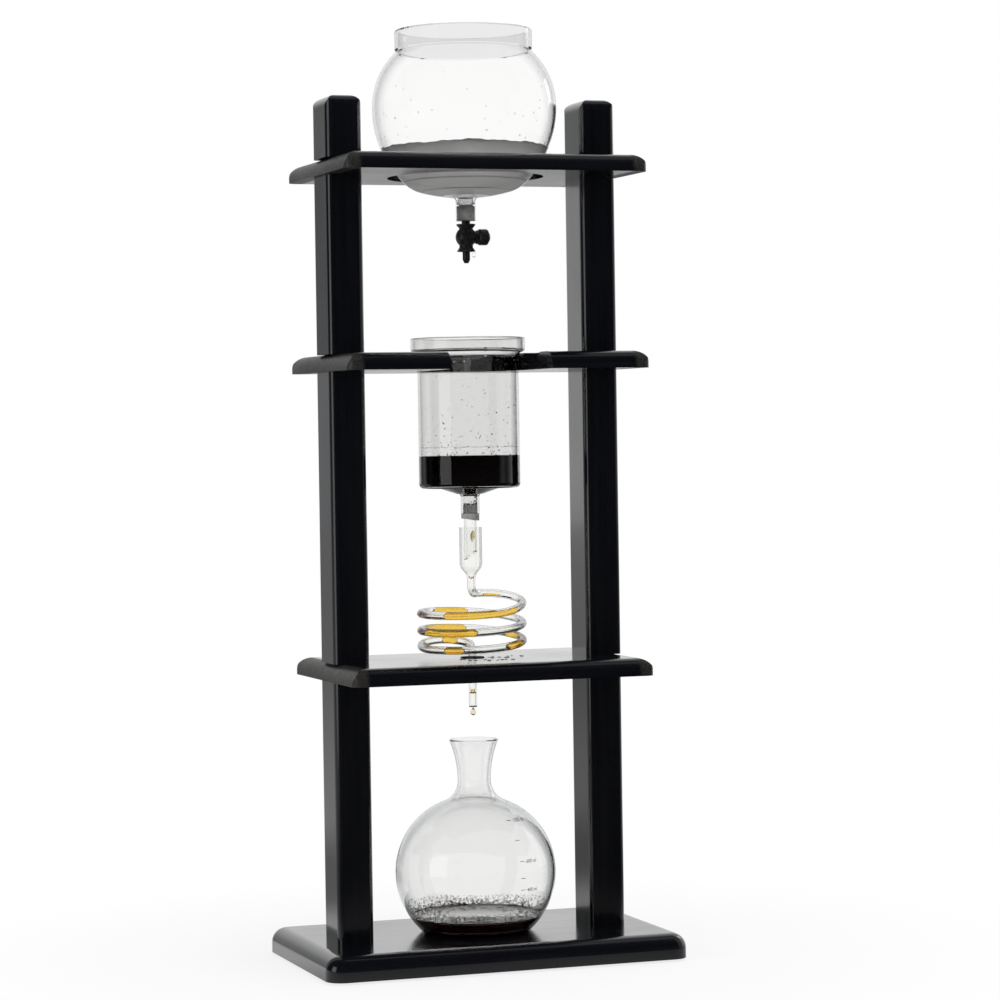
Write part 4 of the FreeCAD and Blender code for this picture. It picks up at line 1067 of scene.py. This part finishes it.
def floor():
    """A pale floor that shows white away from the tower and still takes its shadow.

    Through glass it is white. The lacquer mirrors what a room would show there: behind the tower it is
    white when near and grey of changing depth farther out, and in front of the tower it is dark.
    """
    material = new_material("pale_floor", Base_Color=(0.9, 0.9, 0.9, 1), Roughness=0.9)
    tree = material.node_tree
    place = add_node(material, "TexCoord").outputs["Object"]
    distance = add_node(material, "VectorMath", {"operation": "LENGTH"})
    attach(material, place, distance.inputs[0])
    behind = add_node(material, "VectorMath", {"operation": "DOT_PRODUCT"})
    attach(material, place, behind.inputs[0])
    attach(material, (0.0, 1.0, 0.0), behind.inputs[1])
    away = between(material, distance.outputs["Value"], 0.0, MIRRORED_REACH, 0.0, 1.0)
    tone = ramp(material, away, *((position, (grey,) * 3) for position, grey in MIRRORED_TONES))
    side = between(material, behind.outputs["Value"], -0.2, 0.05, 0.04, 1.0)
    mirrored = maths(material, "MULTIPLY", tone, side)
    share = between(material, distance.outputs["Value"], 0.16, 0.5, 0.8, 1.0)
    colour = blend(material, ray_is(material, "Is Glossy Ray"), WHITE, mirrored)
    colour = blend(material, ray_is(material, "Is Transmission Ray"), colour, WHITE)
    glow = add_node(material, "Emission", Color=colour, Strength=1.0)
    seen = ray_is(material, "Is Camera Ray", "Is Glossy Ray", "Is Transmission Ray")
    mix = add_node(material, "MixShader", Fac=maths(material, "MULTIPLY", share, seen))
    tree.links.new(tree.nodes["Principled BSDF"].outputs["BSDF"], mix.inputs[1])
    tree.links.new(glow.outputs["Emission"], mix.inputs[2])
    tree.links.new(mix.outputs["Shader"], tree.nodes["Material Output"].inputs["Surface"])
    bm = bmesh.new()
    bmesh.ops.create_circle(bm, cap_ends=True, segments=96, radius=FLOOR_R)
    from_bmesh("floor", bm, material)


BRIGHT_SIDE = (0.643, 0.766, 0.0)          # the white wall stands this way from the tower
GLOSSY_WORLD = (           # what gloss mirrors, from 0, away from the bright side, to 1, straight at it
    (0.50, (0.016, 0.018, 0.022)),
    (0.54, (0.10, 0.105, 0.11)),
    (0.58, (0.42, 0.43, 0.43)),
    (0.64, (0.42, 0.43, 0.43)),
    (0.70, (0.13, 0.135, 0.14)),
    (0.757, (0.34, 0.35, 0.35)),
    (0.82, (0.90, 0.90, 0.90)),
    (0.90, (1.0, 1.0, 1.0)),
)
PLAIN_LEVEL = (0.5, 0.5, 0.5, 1)           # of the light from all round


def backdrop():
    """White to the eye and through glass, a white wall in reflections, and plain light for the rest."""
    world = bpy.data.worlds.new("studio")
    bpy.context.scene.world = world
    world.use_nodes = True
    place = add_node(world, "TexCoord").outputs["Generated"]
    towards = add_node(world, "VectorMath", {"operation": "DOT_PRODUCT"})
    attach(world, place, towards.inputs[0])
    attach(world, BRIGHT_SIDE, towards.inputs[1])
    share = between(world, towards.outputs["Value"], -1, 1, 0, 1)
    wall = ramp(world, share, *GLOSSY_WORLD)
    colour = blend(world, ray_is(world, "Is Glossy Ray"), PLAIN_LEVEL, wall)
    colour = blend(world, ray_is(world, "Is Camera Ray", "Is Transmission Ray"), colour, WHITE)
    attach(world, colour, world.node_tree.nodes["Background"].inputs["Color"])


LAMP_TARGET = Vector((0, 0, 0.4))


def lamp(name, place, width, height, power, reflected):
    """A soft lamp that points at the tower; gloss shows it only where it is reflected."""
    light = bpy.data.lights.new(name, "AREA")
    light.shape = "RECTANGLE"
    light.size = width
    light.size_y = height
    light.energy = power
    holder = bpy.data.objects.new(name, light)
    bpy.context.scene.collection.objects.link(holder)
    holder.location = place
    holder.rotation_euler = (LAMP_TARGET - Vector(place)).to_track_quat("-Z", "Y").to_euler()
    holder.visible_camera = False
    holder.visible_glossy = reflected
    holder.visible_transmission = False


def lamps():
    """Two softboxes that only light, and a strip and a window that gloss shows too."""
    lamp("softbox_left", (-1.85, -0.55, 0.42), 0.75, 1.1, 16, False)
    lamp("softbox_top", (0.3, -0.6, 2.4), 1.6, 1.2, 24, False)
    lamp("strip_left", (-1.74, -0.5, 0.5), 0.9, 1.0, 4.2, True)
    lamp("window_right", (1.42, 0.63, 1.0), 0.3, 0.45, 1.5, True)


CAMERA_PLACE = Vector((-0.85083, -2.53013, 0.43129))
CAMERA_YAW = 19.114        # degrees from +Y towards +X
CAMERA_PITCH = -1.209
CAMERA_ROLL = -0.853
CAMERA_LENS = 117.287      # mm, on the sensor's width
CAMERA_SENSOR = 36
CAMERA_SIGHT = 50          # how far it sees, in metres


def camera():
    """The photograph's view of the tower."""
    yaw, pitch, roll = (math.radians(a) for a in (CAMERA_YAW, CAMERA_PITCH, CAMERA_ROLL))
    ahead = Vector((math.sin(yaw) * math.cos(pitch), math.cos(yaw) * math.cos(pitch), math.sin(pitch)))
    right = ahead.cross(UP).normalized()
    up = right.cross(ahead)
    turned_right = right * math.cos(roll) + up * math.sin(roll)
    turned_up = up * math.cos(roll) - right * math.sin(roll)
    data = bpy.data.cameras.new("camera")
    data.sensor_width = CAMERA_SENSOR
    data.lens = CAMERA_LENS
    data.clip_end = CAMERA_SIGHT
    holder = bpy.data.objects.new("camera", data)
    bpy.context.scene.collection.objects.link(holder)
    axes = Matrix((turned_right, turned_up, -ahead)).transposed()
    holder.matrix_world = Matrix.Translation(CAMERA_PLACE) @ axes.to_4x4()
    bpy.context.scene.camera = holder


dress_nodes()
for make in (
    globe_water, stem_water, stopper_contact, globe_drops, valve_drop,
    coffee_bed, coffee_under_disc, column_specks, rim_clumps, column_drops, stem_grounds, drip_tube_coffee,
    coil_segments, funnel_drops, outlet_coffee,
    flask_coffee, flask_froth, flask_bubbles, flask_print,
    shelf_drops, floor, backdrop, lamps, camera,
):
    make()
bpy.context.scene.view_settings.view_transform = "Standard"
